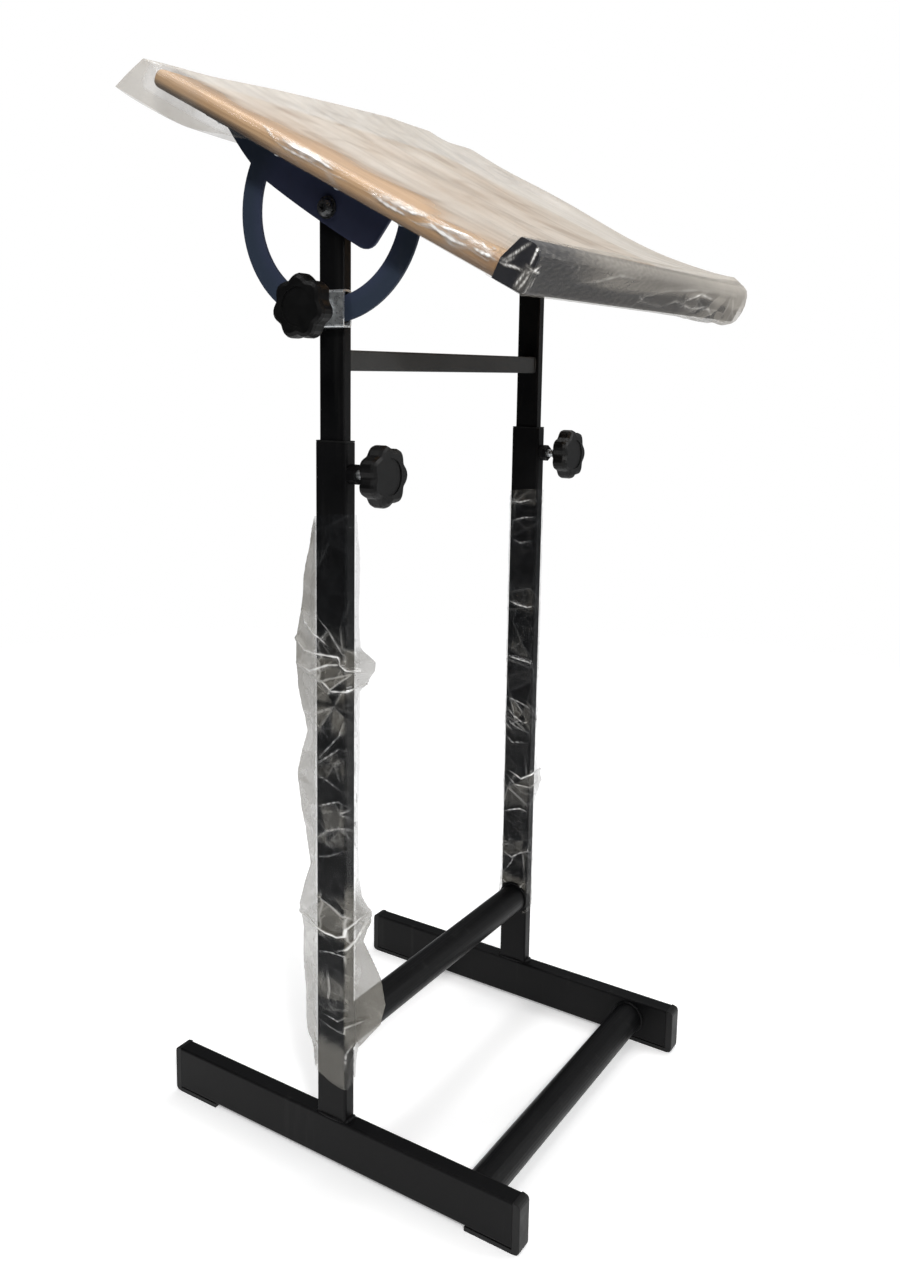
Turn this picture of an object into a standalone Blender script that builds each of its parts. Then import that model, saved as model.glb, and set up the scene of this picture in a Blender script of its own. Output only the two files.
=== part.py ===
"""Standing book stand: welded tube base, telescopic posts and a tilting board with a ledge.

Frame: +X is the reader's right, the reader stands at -Y, +Z is up, metres.
The origin is on the floor, under the middle of the whole stand.
"""
import math

import bmesh
import bpy
from mathutils import Matrix

# Gap between touching solids, and the play round a turning or passing pin
GAP = 0.0003
PIN_PLAY = 0.0003

# Feet: two rectangular tubes along Y, each with a moulded cap at both ends
POST_SPACING = 0.400
FOOT_LENGTH = 0.460
FOOT_HEIGHT = 0.050
FOOT_WIDTH = 0.020
FOOT_WALL = 0.0015
FOOT_INSIDE_CORNER = 0.0010
SOLE_THICKNESS = 0.005
SOLE_LENGTH = 0.062
CAP_PLATE = 0.008
CAP_CORNER = 0.005
CAP_EDGE = 0.002
CAP_PLUG_LENGTH = 0.018

# Outer posts, welded on the feet
POST_DEPTH = 0.038
POST_WIDTH = 0.016
POST_WALL = 0.0015
POST_INSIDE_CORNER = 0.0010
POST_TOP = 0.777

# Round cross tubes between the posts and between the feet
STRETCHER_DIAMETER = 0.036
STRETCHER_WALL = 0.0015
REAR_STRETCHER_HEIGHT = 0.1445
FRONT_STRETCHER_REACH = 0.171

# Guide bush in the mouth of each outer post
BUSH_FLANGE = 0.0015
BUSH_WALL = 0.0025
BUSH_TONGUE_LENGTH = 0.022
SLIDE_PLAY = 0.0005

# Inner posts and the square bar between them
INNER_WALL = 0.0012
INNER_INSIDE_CORNER = 0.0005
INNER_BOTTOM = 0.380
INNER_ABOVE_PIVOT = 0.013
PLUG_FLANGE = 0.002
PLUG_LENGTH = 0.015
GLIDE_HEIGHT = 0.006
CROSSBAR_SIZE = 0.020
CROSSBAR_WALL = 0.0015
CROSSBAR_INSIDE_CORNER = 0.0005
CROSSBAR_HEIGHT = 0.854

# Clamp screws, their weld nuts and star knobs
SCREW_DIAMETER = 0.0095
SCREW_CHAMFER = 0.001
CLAMP_BELOW_TOP = 0.032
CLAMP_NUT_FLATS = 0.017
CLAMP_NUT_HEIGHT = 0.0095
CLAMP_SCREW_SHOWN = 0.010
TILT_NUT_HEIGHT = 0.007
TILT_SCREW_SHOWN = 0.004
KNOB_DIAMETER = 0.061
KNOB_HEIGHT = 0.028
KNOB_LOBES = 7
KNOB_LOBE_POINTS = 10
KNOB_LOBE_DEPTH = 0.0040
KNOB_ROUNDING = 0.0045
KNOB_HUB_HEIGHT = 0.009
KNOB_HUB_BASE = 0.017
KNOB_HUB_TOP = 0.034
KNOB_SOCKET_DEPTH = 0.018
KNOB_DISH_DIAMETER = 0.036
KNOB_DISH_DEPTH = 0.0012

# Tilting board: the pivot axis runs along X
PIVOT_HEIGHT = 0.995
BOARD_TILT = math.radians(27.0)
BOARD_ABOVE_PIVOT = 0.0267
BOARD_WIDTH = 0.520
BOARD_DEPTH = 0.434
BOARD_THICKNESS = 0.018
BOARD_EDGE = 0.007
LEDGE_FRONT_REACH = 0.2495
LEDGE_HEIGHT = 0.040
LEDGE_BASE = 0.032
LEDGE_TOP = 0.022
LEDGE_FRONT_ROUND = 0.010
LEDGE_BOTTOM_ROUND = 0.003
LEDGE_BACK_ROUND = 0.003
DOWEL_DIAMETER = 0.008
DOWEL_LENGTH = 0.030
DOWEL_SPACING = 0.150
DOWEL_COUNT = 3

# Side plates under the board: the left one carries the tilt arc
PLATE_THICKNESS = 0.003
SPACER_THICKNESS = 0.002
ARC_RADIUS = 0.095
ARC_BAND = 0.0235
PLATE_REAR = 0.160
PLATE_FRONT = 0.072
PLATE_FRONT_LEAN = 0.009
PLATE_BELOW_PIVOT = 0.017
PLATE_CORNER = 0.015
FLANGE_THICKNESS = 0.003
FLANGE_WIDTH = 0.025
FLANGE_BEND = 0.0008
FLANGE_CORNER = 0.004
BOARD_SCREW_DIAMETER = 0.004
BOARD_SCREW_LENGTH = 0.014
BOARD_SCREW_HEAD = 0.008
BOARD_SCREW_HEAD_HEIGHT = 0.0025
BOARD_SCREW_END_MARGIN = 0.012

# Pivot fasteners
PIVOT_DIAMETER = 0.010
PIVOT_HEAD_DIAMETER = 0.0175
PIVOT_HEAD_HEIGHT = 0.0055
PIVOT_SOCKET_FLATS = 0.006
PIVOT_SOCKET_DEPTH = 0.003
PIVOT_WASHER_DIAMETER = 0.021
PIVOT_WASHER_THICKNESS = 0.002
PIVOT_NUT_FLATS = 0.017
PIVOT_NUT_HEIGHT = 0.008
PIVOT_THREAD_SHOWN = 0.002

# Box guide that the arc runs through, on the left inner post
GUIDE_LENGTH = 0.048
GUIDE_WALL = 0.002
GUIDE_INSIDE_CORNER = 0.0007
GUIDE_PLAY = 0.002
GUIDE_ROOM = 0.0057

# Clear wrapping film on the board and on the outer posts
FILM_GAP = 0.0004
FILM_THICKNESS = 0.0004
POST_FILM_BOTTOM = 0.100
POST_FILM_TOP = 0.700
FILM_SLIT_PLAY = 0.0012

# Facets on round forms
ROUND_SEGMENTS = 32
SMALL_SEGMENTS = 20
CORNER_SEGMENTS = 3
ARC_STEP = math.radians(4.0)

# Sizes that follow from the ones above
FOOT_TOP = SOLE_THICKNESS + FOOT_HEIGHT
POST_CORNER = POST_WALL + POST_INSIDE_CORNER
INNER_CORNER = INNER_WALL + INNER_INSIDE_CORNER
POST_CAVITY_DEPTH = POST_DEPTH - 2.0 * POST_WALL
POST_CAVITY_WIDTH = POST_WIDTH - 2.0 * POST_WALL
INNER_DEPTH = POST_CAVITY_DEPTH - 2.0 * BUSH_WALL
INNER_WIDTH = POST_CAVITY_WIDTH - 2.0 * SLIDE_PLAY
INNER_TOP = PIVOT_HEIGHT + INNER_ABOVE_PIVOT
CLAMP_HEIGHT = POST_TOP - CLAMP_BELOW_TOP
POST_X = POST_SPACING / 2.0
INNER_FACE = POST_X + INNER_WIDTH / 2.0
SPACER_OUT = INNER_FACE + GAP + SPACER_THICKNESS
PLATE_IN = SPACER_OUT + GAP
PLATE_OUT = PLATE_IN + PLATE_THICKNESS
WASHER_IN = PLATE_OUT + GAP
HEAD_IN = WASHER_IN + PIVOT_WASHER_THICKNESS + GAP
ARC_OUTER = ARC_RADIUS + ARC_BAND / 2.0
ARC_INNER = ARC_RADIUS - ARC_BAND / 2.0
GUIDE_ARC_TOP = math.sqrt(ARC_INNER ** 2 - (GUIDE_LENGTH / 2.0) ** 2)
GUIDE_HEIGHT = ARC_OUTER - GUIDE_ARC_TOP + 2.0 * (GUIDE_PLAY + GUIDE_WALL)
GUIDE_DROP = (ARC_OUTER + GUIDE_ARC_TOP) / 2.0
GUIDE_IN = INNER_FACE + GAP
GUIDE_OUT = PLATE_OUT + GUIDE_ROOM + GUIDE_WALL
FLANGE_TOP = BOARD_ABOVE_PIVOT - GAP
FLANGE_BOTTOM = FLANGE_TOP - FLANGE_THICKNESS
PLATE_TOP = FLANGE_TOP - FLANGE_THICKNESS / 2.0
FLANGE_MIDDLE = PLATE_OUT + FLANGE_WIDTH / 2.0
LEDGE_FRONT = -LEDGE_FRONT_REACH
BOARD_FRONT = LEDGE_FRONT + LEDGE_BASE + GAP
BOARD_REAR = BOARD_FRONT + BOARD_DEPTH
FILM_SKIN = FILM_GAP + FILM_THICKNESS

# The stand's middle, front to back, is the origin: the ledge reaches further than the feet
FRONT_ROUND_CENTRE_Y = (
    (LEDGE_FRONT + LEDGE_FRONT_ROUND) * math.cos(BOARD_TILT)
    - (BOARD_ABOVE_PIVOT + LEDGE_HEIGHT - LEDGE_FRONT_ROUND) * math.sin(BOARD_TILT)
)
FRONT_REACH = LEDGE_FRONT_ROUND + FILM_SKIN - FRONT_ROUND_CENTRE_Y
STAND_SHIFT = (FRONT_REACH - FOOT_LENGTH / 2.0) / 2.0

# Turns of a flat outline's own axes (u, v, depth) onto the model's axes
ALONG_X = Matrix(((0, 0, 1, 0), (1, 0, 0, 0), (0, 1, 0, 0), (0, 0, 0, 1)))
ALONG_Y = Matrix(((0, 1, 0, 0), (0, 0, 1, 0), (1, 0, 0, 0), (0, 0, 0, 1)))
ALONG_Z = Matrix.Identity(4)


def clear_scene():
    for old in list(bpy.data.objects):
        bpy.data.objects.remove(old, do_unlink=True)


clear_scene()


def new_collection(name):
    collection = bpy.data.collections.new(name)
    bpy.context.scene.collection.children.link(collection)
    return collection


PARTS = new_collection("book_stand")
CUTTERS = new_collection("cutters")


def finish(name, colour, roughness, metallic=0.0, alpha=1.0):
    """A Principled material with one finish."""
    made = bpy.data.materials.new(name)
    made.use_nodes = True
    shader = made.node_tree.nodes["Principled BSDF"]
    shader.inputs["Base Color"].default_value = (*colour, 1.0)
    shader.inputs["Roughness"].default_value = roughness
    shader.inputs["Metallic"].default_value = metallic
    shader.inputs["Alpha"].default_value = alpha
    return made


BLACK_PAINT = finish("black_powder_coat", (0.012, 0.012, 0.013), 0.5)
GREY_PAINT = finish("grey_powder_coat", (0.045, 0.045, 0.044), 0.55)
NAVY_PAINT = finish("navy_powder_coat", (0.012, 0.018, 0.045), 0.45)
ZINC = finish("zinc_plate", (0.55, 0.56, 0.56), 0.35, metallic=1.0)
CAP_PLASTIC = finish("cap_plastic", (0.018, 0.018, 0.018), 0.5)
KNOB_PLASTIC = finish("knob_plastic", (0.010, 0.010, 0.010), 0.4)
BEECH = finish("beech", (0.58, 0.38, 0.21), 0.4)
DARK_LEDGE = finish("dark_ledge", (0.010, 0.011, 0.016), 0.45)
DOWEL_WOOD = finish("dowel_wood", (0.60, 0.42, 0.24), 0.7)
CLEAR_FILM = finish("clear_film", (0.90, 0.90, 0.90), 0.15, alpha=0.25)


def empty(name, location=(0.0, 0.0, 0.0), parent=None, tilt=0.0):
    """A joint axis or group that pieces hang on."""
    made = bpy.data.objects.new(name, None)
    made.location = location
    made.rotation_euler = (tilt, 0.0, 0.0)
    made.parent = parent
    PARTS.objects.link(made)
    return made


STAND = empty("stand", (0.0, STAND_SHIFT, 0.0))
SLIDE = empty("height_slide", parent=STAND)
TILT_AXIS = empty("tilt_axis", (0.0, 0.0, PIVOT_HEIGHT), SLIDE, BOARD_TILT)


def shade(mesh):
    mesh.shade_smooth()
    mesh.set_sharp_from_angle(angle=math.radians(35.0))


def add_part(name, mesh, material, parent=STAND):
    """Make a mesh a named piece of the stand."""
    made = bpy.data.objects.new(name, mesh)
    made.parent = parent
    mesh.materials.clear()
    mesh.materials.append(material)
    shade(mesh)
    PARTS.objects.link(made)
    return made


def boolean(target, tool_mesh, operation):
    """Cut a tool mesh from a piece, or join it on; the tool moves with the piece."""
    tool = bpy.data.objects.new(f"{target.name}_{operation.lower()}", tool_mesh)
    tool.parent = target.parent
    tool.hide_render = True
    tool.display_type = "WIRE"
    CUTTERS.objects.link(tool)
    modifier = target.modifiers.new(operation.lower(), "BOOLEAN")
    modifier.operation = operation
    modifier.solver = "EXACT"
    modifier.object = tool


def evaluated_mesh(source, merge=0.000001):
    """The mesh that an object evaluates to, welded and facing out; the object is removed."""
    bpy.context.view_layer.update()
    depsgraph = bpy.context.evaluated_depsgraph_get()
    mesh = bpy.data.meshes.new_from_object(source.evaluated_get(depsgraph))
    bpy.data.objects.remove(source, do_unlink=True)
    work = bmesh.new()
    work.from_mesh(mesh)
    bmesh.ops.remove_doubles(work, verts=work.verts, dist=merge)
    bmesh.ops.recalc_face_normals(work, faces=work.faces)
    work.to_mesh(mesh)
    work.free()
    return mesh


def merged(meshes):
    """Several meshes as one, each still a solid of its own."""
    work = bmesh.new()
    for mesh in meshes:
        work.from_mesh(mesh)
    joined = bpy.data.meshes.new("group")
    work.to_mesh(joined)
    work.free()
    return joined


def moved(mesh, x=0.0, y=0.0, z=0.0):
    copy = mesh.copy()
    copy.transform(Matrix.Translation((x, y, z)))
    return copy


def mirrored(mesh):
    """The same mesh on the other side of the stand."""
    work = bmesh.new()
    work.from_mesh(mesh)
    bmesh.ops.scale(work, vec=(-1.0, 1.0, 1.0), verts=work.verts)
    bmesh.ops.reverse_faces(work, faces=work.faces)
    other = bpy.data.meshes.new("mirrored")
    work.to_mesh(other)
    work.free()
    return other


def arc(centre_u, centre_v, radius, start, end, steps):
    """Points on an arc, both ends included, angles in radians."""
    points = []
    for step in range(steps + 1):
        angle = start + (end - start) * step / steps
        points.append((centre_u + radius * math.cos(angle), centre_v + radius * math.sin(angle)))
    return points


def swing(start, control, end, steps):
    """Points on a quadratic curve between two points, the first left out."""
    points = []
    for step in range(1, steps + 1):
        t = step / steps
        weights = ((1.0 - t) ** 2, 2.0 * t * (1.0 - t), t ** 2)
        u = sum(w * p[0] for w, p in zip(weights, (start, control, end)))
        v = sum(w * p[1] for w, p in zip(weights, (start, control, end)))
        points.append((u, v))
    return points


def circle(radius, segments=ROUND_SEGMENTS):
    return arc(0.0, 0.0, radius, 0.0, 2.0 * math.pi * (segments - 1) / segments, segments - 1)


def hexagon(flats):
    return circle(flats / math.sqrt(3.0), 6)


def rounded_rectangle(width_u, width_v, radius):
    points = []
    for turn, (sign_u, sign_v) in enumerate(((1, 1), (-1, 1), (-1, -1), (1, -1))):
        start = turn * math.pi / 2.0
        centre_u = sign_u * (width_u / 2.0 - radius)
        centre_v = sign_v * (width_v / 2.0 - radius)
        points += arc(centre_u, centre_v, radius, start, start + math.pi / 2.0, CORNER_SEGMENTS)
    return points


def outline_solid(outlines, depth, turn=ALONG_Z, rounding=0.0):
    """A flat outline, with any holes in it, given a thickness about its own plane."""
    curve = bpy.data.curves.new("outline", "CURVE")
    curve.dimensions = "2D"
    curve.fill_mode = "BOTH"
    curve.extrude = depth / 2.0 - rounding
    curve.bevel_depth = rounding
    curve.bevel_resolution = 1
    for points in outlines:
        spline = curve.splines.new("POLY")
        spline.points.add(len(points) - 1)
        for point, (u, v) in zip(spline.points, points):
            point.co = (u, v, 0.0, 1.0)
        spline.use_cyclic_u = True
    source = bpy.data.objects.new("outline", curve)
    CUTTERS.objects.link(source)
    mesh = evaluated_mesh(source)
    mesh.transform(turn)
    return mesh


def turned(profile, segments=ROUND_SEGMENTS):
    """A shape of revolution about Z: the profile of (radius, height) runs from top to bottom."""
    mesh = bpy.data.meshes.new("profile")
    points = [(radius, 0.0, height) for radius, height in profile]
    mesh.from_pydata(points, [(i, i + 1) for i in range(len(points) - 1)], [])
    source = bpy.data.objects.new("profile", mesh)
    CUTTERS.objects.link(source)
    screw = source.modifiers.new("turn", "SCREW")
    screw.axis = "Z"
    screw.steps = segments
    screw.render_steps = segments
    screw.use_merge_vertices = True
    screw.merge_threshold = 0.00001
    return evaluated_mesh(source, merge=0.00001)


def cylinder(radius, low, high, turn=ALONG_Z, segments=SMALL_SEGMENTS):
    """A plain round bar between two heights on its axis."""
    work = bmesh.new()
    bmesh.ops.create_cone(
        work, cap_ends=True, segments=segments, radius1=radius, radius2=radius, depth=high - low
    )
    mesh = bpy.data.meshes.new("cylinder")
    work.to_mesh(mesh)
    work.free()
    mesh.transform(Matrix.Translation((0.0, 0.0, (low + high) / 2.0)))
    mesh.transform(turn)
    return mesh


def box(low, high):
    work = bmesh.new()
    bmesh.ops.create_cube(work, size=1.0)
    size = [h - l for l, h in zip(low, high)]
    bmesh.ops.scale(work, vec=size, verts=work.verts)
    middle = [(h + l) / 2.0 for l, h in zip(low, high)]
    bmesh.ops.translate(work, vec=middle, verts=work.verts)
    mesh = bpy.data.meshes.new("box")
    work.to_mesh(mesh)
    work.free()
    return mesh


def rectangular_tube(width_u, width_v, wall, inside_corner, length, turn):
    """A welded tube with rounded corners, open at both ends."""
    outer = rounded_rectangle(width_u, width_v, wall + inside_corner)
    inner = rounded_rectangle(width_u - 2.0 * wall, width_v - 2.0 * wall, inside_corner)
    return outline_solid((outer, inner), length, turn)


SIDES = (("left", -1.0), ("right", 1.0))
ENDS = (("front", -1.0), ("rear", 1.0))


def foot_cap_mesh():
    """A cap for a foot's front end: end plate, sole under the tube and plug inside it."""
    height = FOOT_TOP
    outline = [(SOLE_LENGTH, 0.0)]
    outline += reversed(arc(CAP_CORNER, CAP_CORNER, CAP_CORNER, math.pi, 1.5 * math.pi, CORNER_SEGMENTS))
    outline += reversed(
        arc(CAP_CORNER, height - CAP_CORNER, CAP_CORNER, math.pi / 2.0, math.pi, CORNER_SEGMENTS)
    )
    outline += [(CAP_PLATE, height), (CAP_PLATE, SOLE_THICKNESS - GAP)]
    outline += [(SOLE_LENGTH, SOLE_THICKNESS - GAP)]
    mesh = outline_solid((outline,), FOOT_WIDTH, ALONG_X)
    work = bmesh.new()
    work.from_mesh(mesh)
    side = FOOT_WIDTH / 2.0 - GAP
    rim = [
        edge for edge in work.edges
        if all(abs(v.co.x) > side and v.co.y < CAP_PLATE - GAP for v in edge.verts)
        and edge.verts[0].co.x * edge.verts[1].co.x > 0.0
        and len({abs(face.normal.x) > 0.9 for face in edge.link_faces}) == 2
    ]
    bmesh.ops.bevel(
        work, geom=rim, offset=CAP_EDGE, segments=2, profile=0.5, affect="EDGES", clamp_overlap=True
    )
    work.to_mesh(mesh)
    work.free()
    return mesh


def foot_cap_plug():
    """The part of a cap that is pushed into the tube."""
    play = FOOT_WALL + GAP
    section = rounded_rectangle(
        FOOT_HEIGHT - 2.0 * play, FOOT_WIDTH - 2.0 * play, FOOT_INSIDE_CORNER
    )
    length = CAP_PLUG_LENGTH + CAP_PLATE / 2.0
    plug = outline_solid((section,), length, ALONG_Y)
    return moved(plug, 0.0, (CAP_PLATE + length) / 2.0, SOLE_THICKNESS + FOOT_HEIGHT / 2.0)


def turned_about(mesh, end):
    """A front-end mesh placed at the front end, or turned round to the rear end."""
    copy = mesh.copy()
    copy.transform(Matrix.Translation((0.0, -FOOT_LENGTH / 2.0, 0.0)))
    if end > 0.0:
        copy.transform(Matrix.Rotation(math.pi, 4, "Z"))
    return copy


def feet():
    tube_length = FOOT_LENGTH - 2.0 * (CAP_PLATE + GAP)
    tube = rectangular_tube(FOOT_HEIGHT, FOOT_WIDTH, FOOT_WALL, FOOT_INSIDE_CORNER, tube_length, ALONG_Y)
    cap = foot_cap_mesh()
    plug = foot_cap_plug()
    for side, sign in SIDES:
        x = sign * POST_X
        middle = SOLE_THICKNESS + FOOT_HEIGHT / 2.0
        add_part(f"foot_bar_{side}", moved(tube, x, 0.0, middle), BLACK_PAINT)
        for end, direction in ENDS:
            made = add_part(f"foot_cap_{end}_{side}", moved(turned_about(cap, direction), x), CAP_PLASTIC)
            boolean(made, moved(turned_about(plug, direction), x), "UNION")


def outer_posts():
    bottom = FOOT_TOP + GAP
    top = POST_TOP - BUSH_FLANGE - GAP
    tube = rectangular_tube(
        POST_WIDTH, POST_DEPTH, POST_WALL, POST_INSIDE_CORNER, top - bottom, ALONG_Z
    )
    hole_radius = SCREW_DIAMETER / 2.0 + PIN_PLAY
    hole = cylinder(hole_radius, -POST_DEPTH, -INNER_DEPTH / 2.0, ALONG_Y)
    for side, sign in SIDES:
        x = sign * POST_X
        made = add_part(f"outer_post_{side}", moved(tube, x, 0.0, (bottom + top) / 2.0), BLACK_PAINT)
        boolean(made, moved(hole, x, 0.0, CLAMP_HEIGHT), "DIFFERENCE")


def guide_bushes():
    """A rim on each outer post's mouth, with a tongue before and behind the inner post."""
    rim = rounded_rectangle(POST_WIDTH, POST_DEPTH, POST_CORNER)
    mouth = rounded_rectangle(INNER_WIDTH + 2.0 * GAP, INNER_DEPTH + 2.0 * GAP, INNER_CORNER)
    flange = outline_solid((rim, mouth), BUSH_FLANGE)
    half_width = POST_CAVITY_WIDTH / 2.0 - GAP - POST_INSIDE_CORNER
    near = INNER_DEPTH / 2.0 + 1.7 * GAP
    far = POST_CAVITY_DEPTH / 2.0 - GAP
    top = POST_TOP - BUSH_FLANGE / 2.0
    bottom = POST_TOP - BUSH_FLANGE - BUSH_TONGUE_LENGTH
    tongues = merged((
        box((-half_width, -far, bottom), (half_width, -near, top)),
        box((-half_width, near, bottom), (half_width, far, top)),
    ))
    for side, sign in SIDES:
        x = sign * POST_X
        made = add_part(f"guide_bush_{side}", moved(flange, x, 0.0, top), CAP_PLASTIC)
        boolean(made, moved(tongues, x), "UNION")


def stretchers():
    radius = STRETCHER_DIAMETER / 2.0
    section = (circle(radius), circle(radius - STRETCHER_WALL))
    rear_length = POST_SPACING - POST_WIDTH - 2.0 * GAP
    front_length = POST_SPACING - FOOT_WIDTH - 2.0 * GAP
    rear = outline_solid(section, rear_length, ALONG_X)
    front = outline_solid(section, front_length, ALONG_X)
    front_height = SOLE_THICKNESS + FOOT_HEIGHT / 2.0
    add_part("rear_stretcher", moved(rear, 0.0, 0.0, REAR_STRETCHER_HEIGHT), BLACK_PAINT)
    add_part("front_stretcher", moved(front, 0.0, -FRONT_STRETCHER_REACH, front_height), BLACK_PAINT)


def post_films():
    """A clear sleeve on each outer post, slit round the rear stretcher."""
    inner_radius = POST_CORNER + FILM_GAP
    inner = rounded_rectangle(POST_WIDTH + 2.0 * FILM_GAP, POST_DEPTH + 2.0 * FILM_GAP, inner_radius)
    outer = rounded_rectangle(
        POST_WIDTH + 2.0 * FILM_SKIN, POST_DEPTH + 2.0 * FILM_SKIN, POST_CORNER + FILM_SKIN
    )
    sleeve = outline_solid((outer, inner), POST_FILM_TOP - POST_FILM_BOTTOM)
    middle = (POST_FILM_TOP + POST_FILM_BOTTOM) / 2.0
    slit = cylinder(STRETCHER_DIAMETER / 2.0 + FILM_SLIT_PLAY, -POST_X, POST_X, ALONG_X, ROUND_SEGMENTS)
    for side, sign in SIDES:
        x = sign * POST_X
        made = add_part(f"post_film_{side}", moved(sleeve, x, 0.0, middle), CLEAR_FILM)
        boolean(made, moved(slit, 0.0, 0.0, REAR_STRETCHER_HEIGHT), "DIFFERENCE")


def knob_outline(radius):
    """A star with broad round lobes and shallow hollows between them."""
    points = []
    count = KNOB_LOBES * KNOB_LOBE_POINTS
    for step in range(count):
        angle = 2.0 * math.pi * step / count
        hollow = (1.0 - math.cos(KNOB_LOBES * angle)) / 2.0
        reach = radius - KNOB_LOBE_DEPTH * hollow
        points.append((reach * math.cos(angle), reach * math.sin(angle)))
    return points


def add_knob(name, axis_empty, turn):
    """A star knob on its axis: hub base at 0, front face at the knob's height."""
    body_height = KNOB_HEIGHT - KNOB_HUB_HEIGHT
    outline = knob_outline(KNOB_DIAMETER / 2.0 - KNOB_ROUNDING)
    star = outline_solid((outline,), body_height, ALONG_Z, KNOB_ROUNDING)
    body = moved(star, 0.0, 0.0, KNOB_HEIGHT - body_height / 2.0)
    hub = turned((
        (0.0, KNOB_HUB_HEIGHT + body_height / 3.0),
        (KNOB_HUB_TOP / 2.0, KNOB_HUB_HEIGHT + body_height / 3.0),
        (KNOB_HUB_TOP / 2.0, KNOB_HUB_HEIGHT * 0.85),
        (KNOB_HUB_BASE / 2.0, KNOB_HUB_HEIGHT * 0.15),
        (KNOB_HUB_BASE / 2.0, 0.0),
        (0.0, 0.0),
    ), SMALL_SEGMENTS)
    socket = cylinder(SCREW_DIAMETER / 2.0 + PIN_PLAY, -KNOB_HUB_HEIGHT, KNOB_SOCKET_DEPTH)
    dish = cylinder(KNOB_DISH_DIAMETER / 2.0, KNOB_HEIGHT - KNOB_DISH_DEPTH, 2.0 * KNOB_HEIGHT)
    for mesh in (body, hub, socket, dish):
        mesh.transform(turn)
    made = add_part(name, body, KNOB_PLASTIC, axis_empty)
    boolean(made, hub, "UNION")
    boolean(made, merged((socket, dish)), "DIFFERENCE")


def add_clamp_screw(name, axis_empty, turn, tip):
    """A headless screw: its tip below the knob's base, its end in the knob's socket."""
    radius = SCREW_DIAMETER / 2.0
    top = KNOB_SOCKET_DEPTH - GAP
    mesh = turned((
        (0.0, top),
        (radius, top),
        (radius, tip + SCREW_CHAMFER),
        (radius - SCREW_CHAMFER, tip),
        (0.0, tip),
    ), SMALL_SEGMENTS)
    mesh.transform(turn)
    add_part(name, mesh, ZINC, axis_empty)


def clamp_nut(height, turn):
    return outline_solid(
        (hexagon(CLAMP_NUT_FLATS), circle(SCREW_DIAMETER / 2.0 + PIN_PLAY, SMALL_SEGMENTS)), height, turn
    )


def height_clamps():
    """On each outer post's front: weld nut, screw onto the inner post, star knob."""
    face = POST_DEPTH / 2.0
    nut = clamp_nut(CLAMP_NUT_HEIGHT, ALONG_Y)
    nut_middle = face + GAP + CLAMP_NUT_HEIGHT / 2.0
    base = face + GAP + CLAMP_NUT_HEIGHT + CLAMP_SCREW_SHOWN
    tip = INNER_DEPTH / 2.0 + GAP - base
    outward = Matrix.Rotation(math.pi / 2.0, 4, "X")
    for side, sign in SIDES:
        x = sign * POST_X
        add_part(f"clamp_nut_{side}", moved(nut, x, -nut_middle, CLAMP_HEIGHT), BLACK_PAINT)
        axis_empty = empty(f"height_clamp_axis_{side}", (x, -base, CLAMP_HEIGHT), STAND)
        add_knob(f"height_knob_{side}", axis_empty, outward)
        add_clamp_screw(f"height_screw_{side}", axis_empty, outward, tip)


def tilt_clamp():
    """Weld nut on the box guide, screw onto the arc, star knob."""
    height = PIVOT_HEIGHT - GUIDE_DROP
    nut = clamp_nut(TILT_NUT_HEIGHT, ALONG_X)
    nut_middle = GUIDE_OUT + GAP + TILT_NUT_HEIGHT / 2.0
    add_part("tilt_nut", moved(nut, -nut_middle, 0.0, height), ZINC, SLIDE)
    base = GUIDE_OUT + GAP + TILT_NUT_HEIGHT + TILT_SCREW_SHOWN
    tip = PLATE_OUT + GAP - base
    outward = Matrix.Rotation(-math.pi / 2.0, 4, "Y")
    axis_empty = empty("tilt_clamp_axis", (-base, 0.0, height), SLIDE)
    add_knob("tilt_knob", axis_empty, outward)
    add_clamp_screw("tilt_screw", axis_empty, outward, tip)


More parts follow.
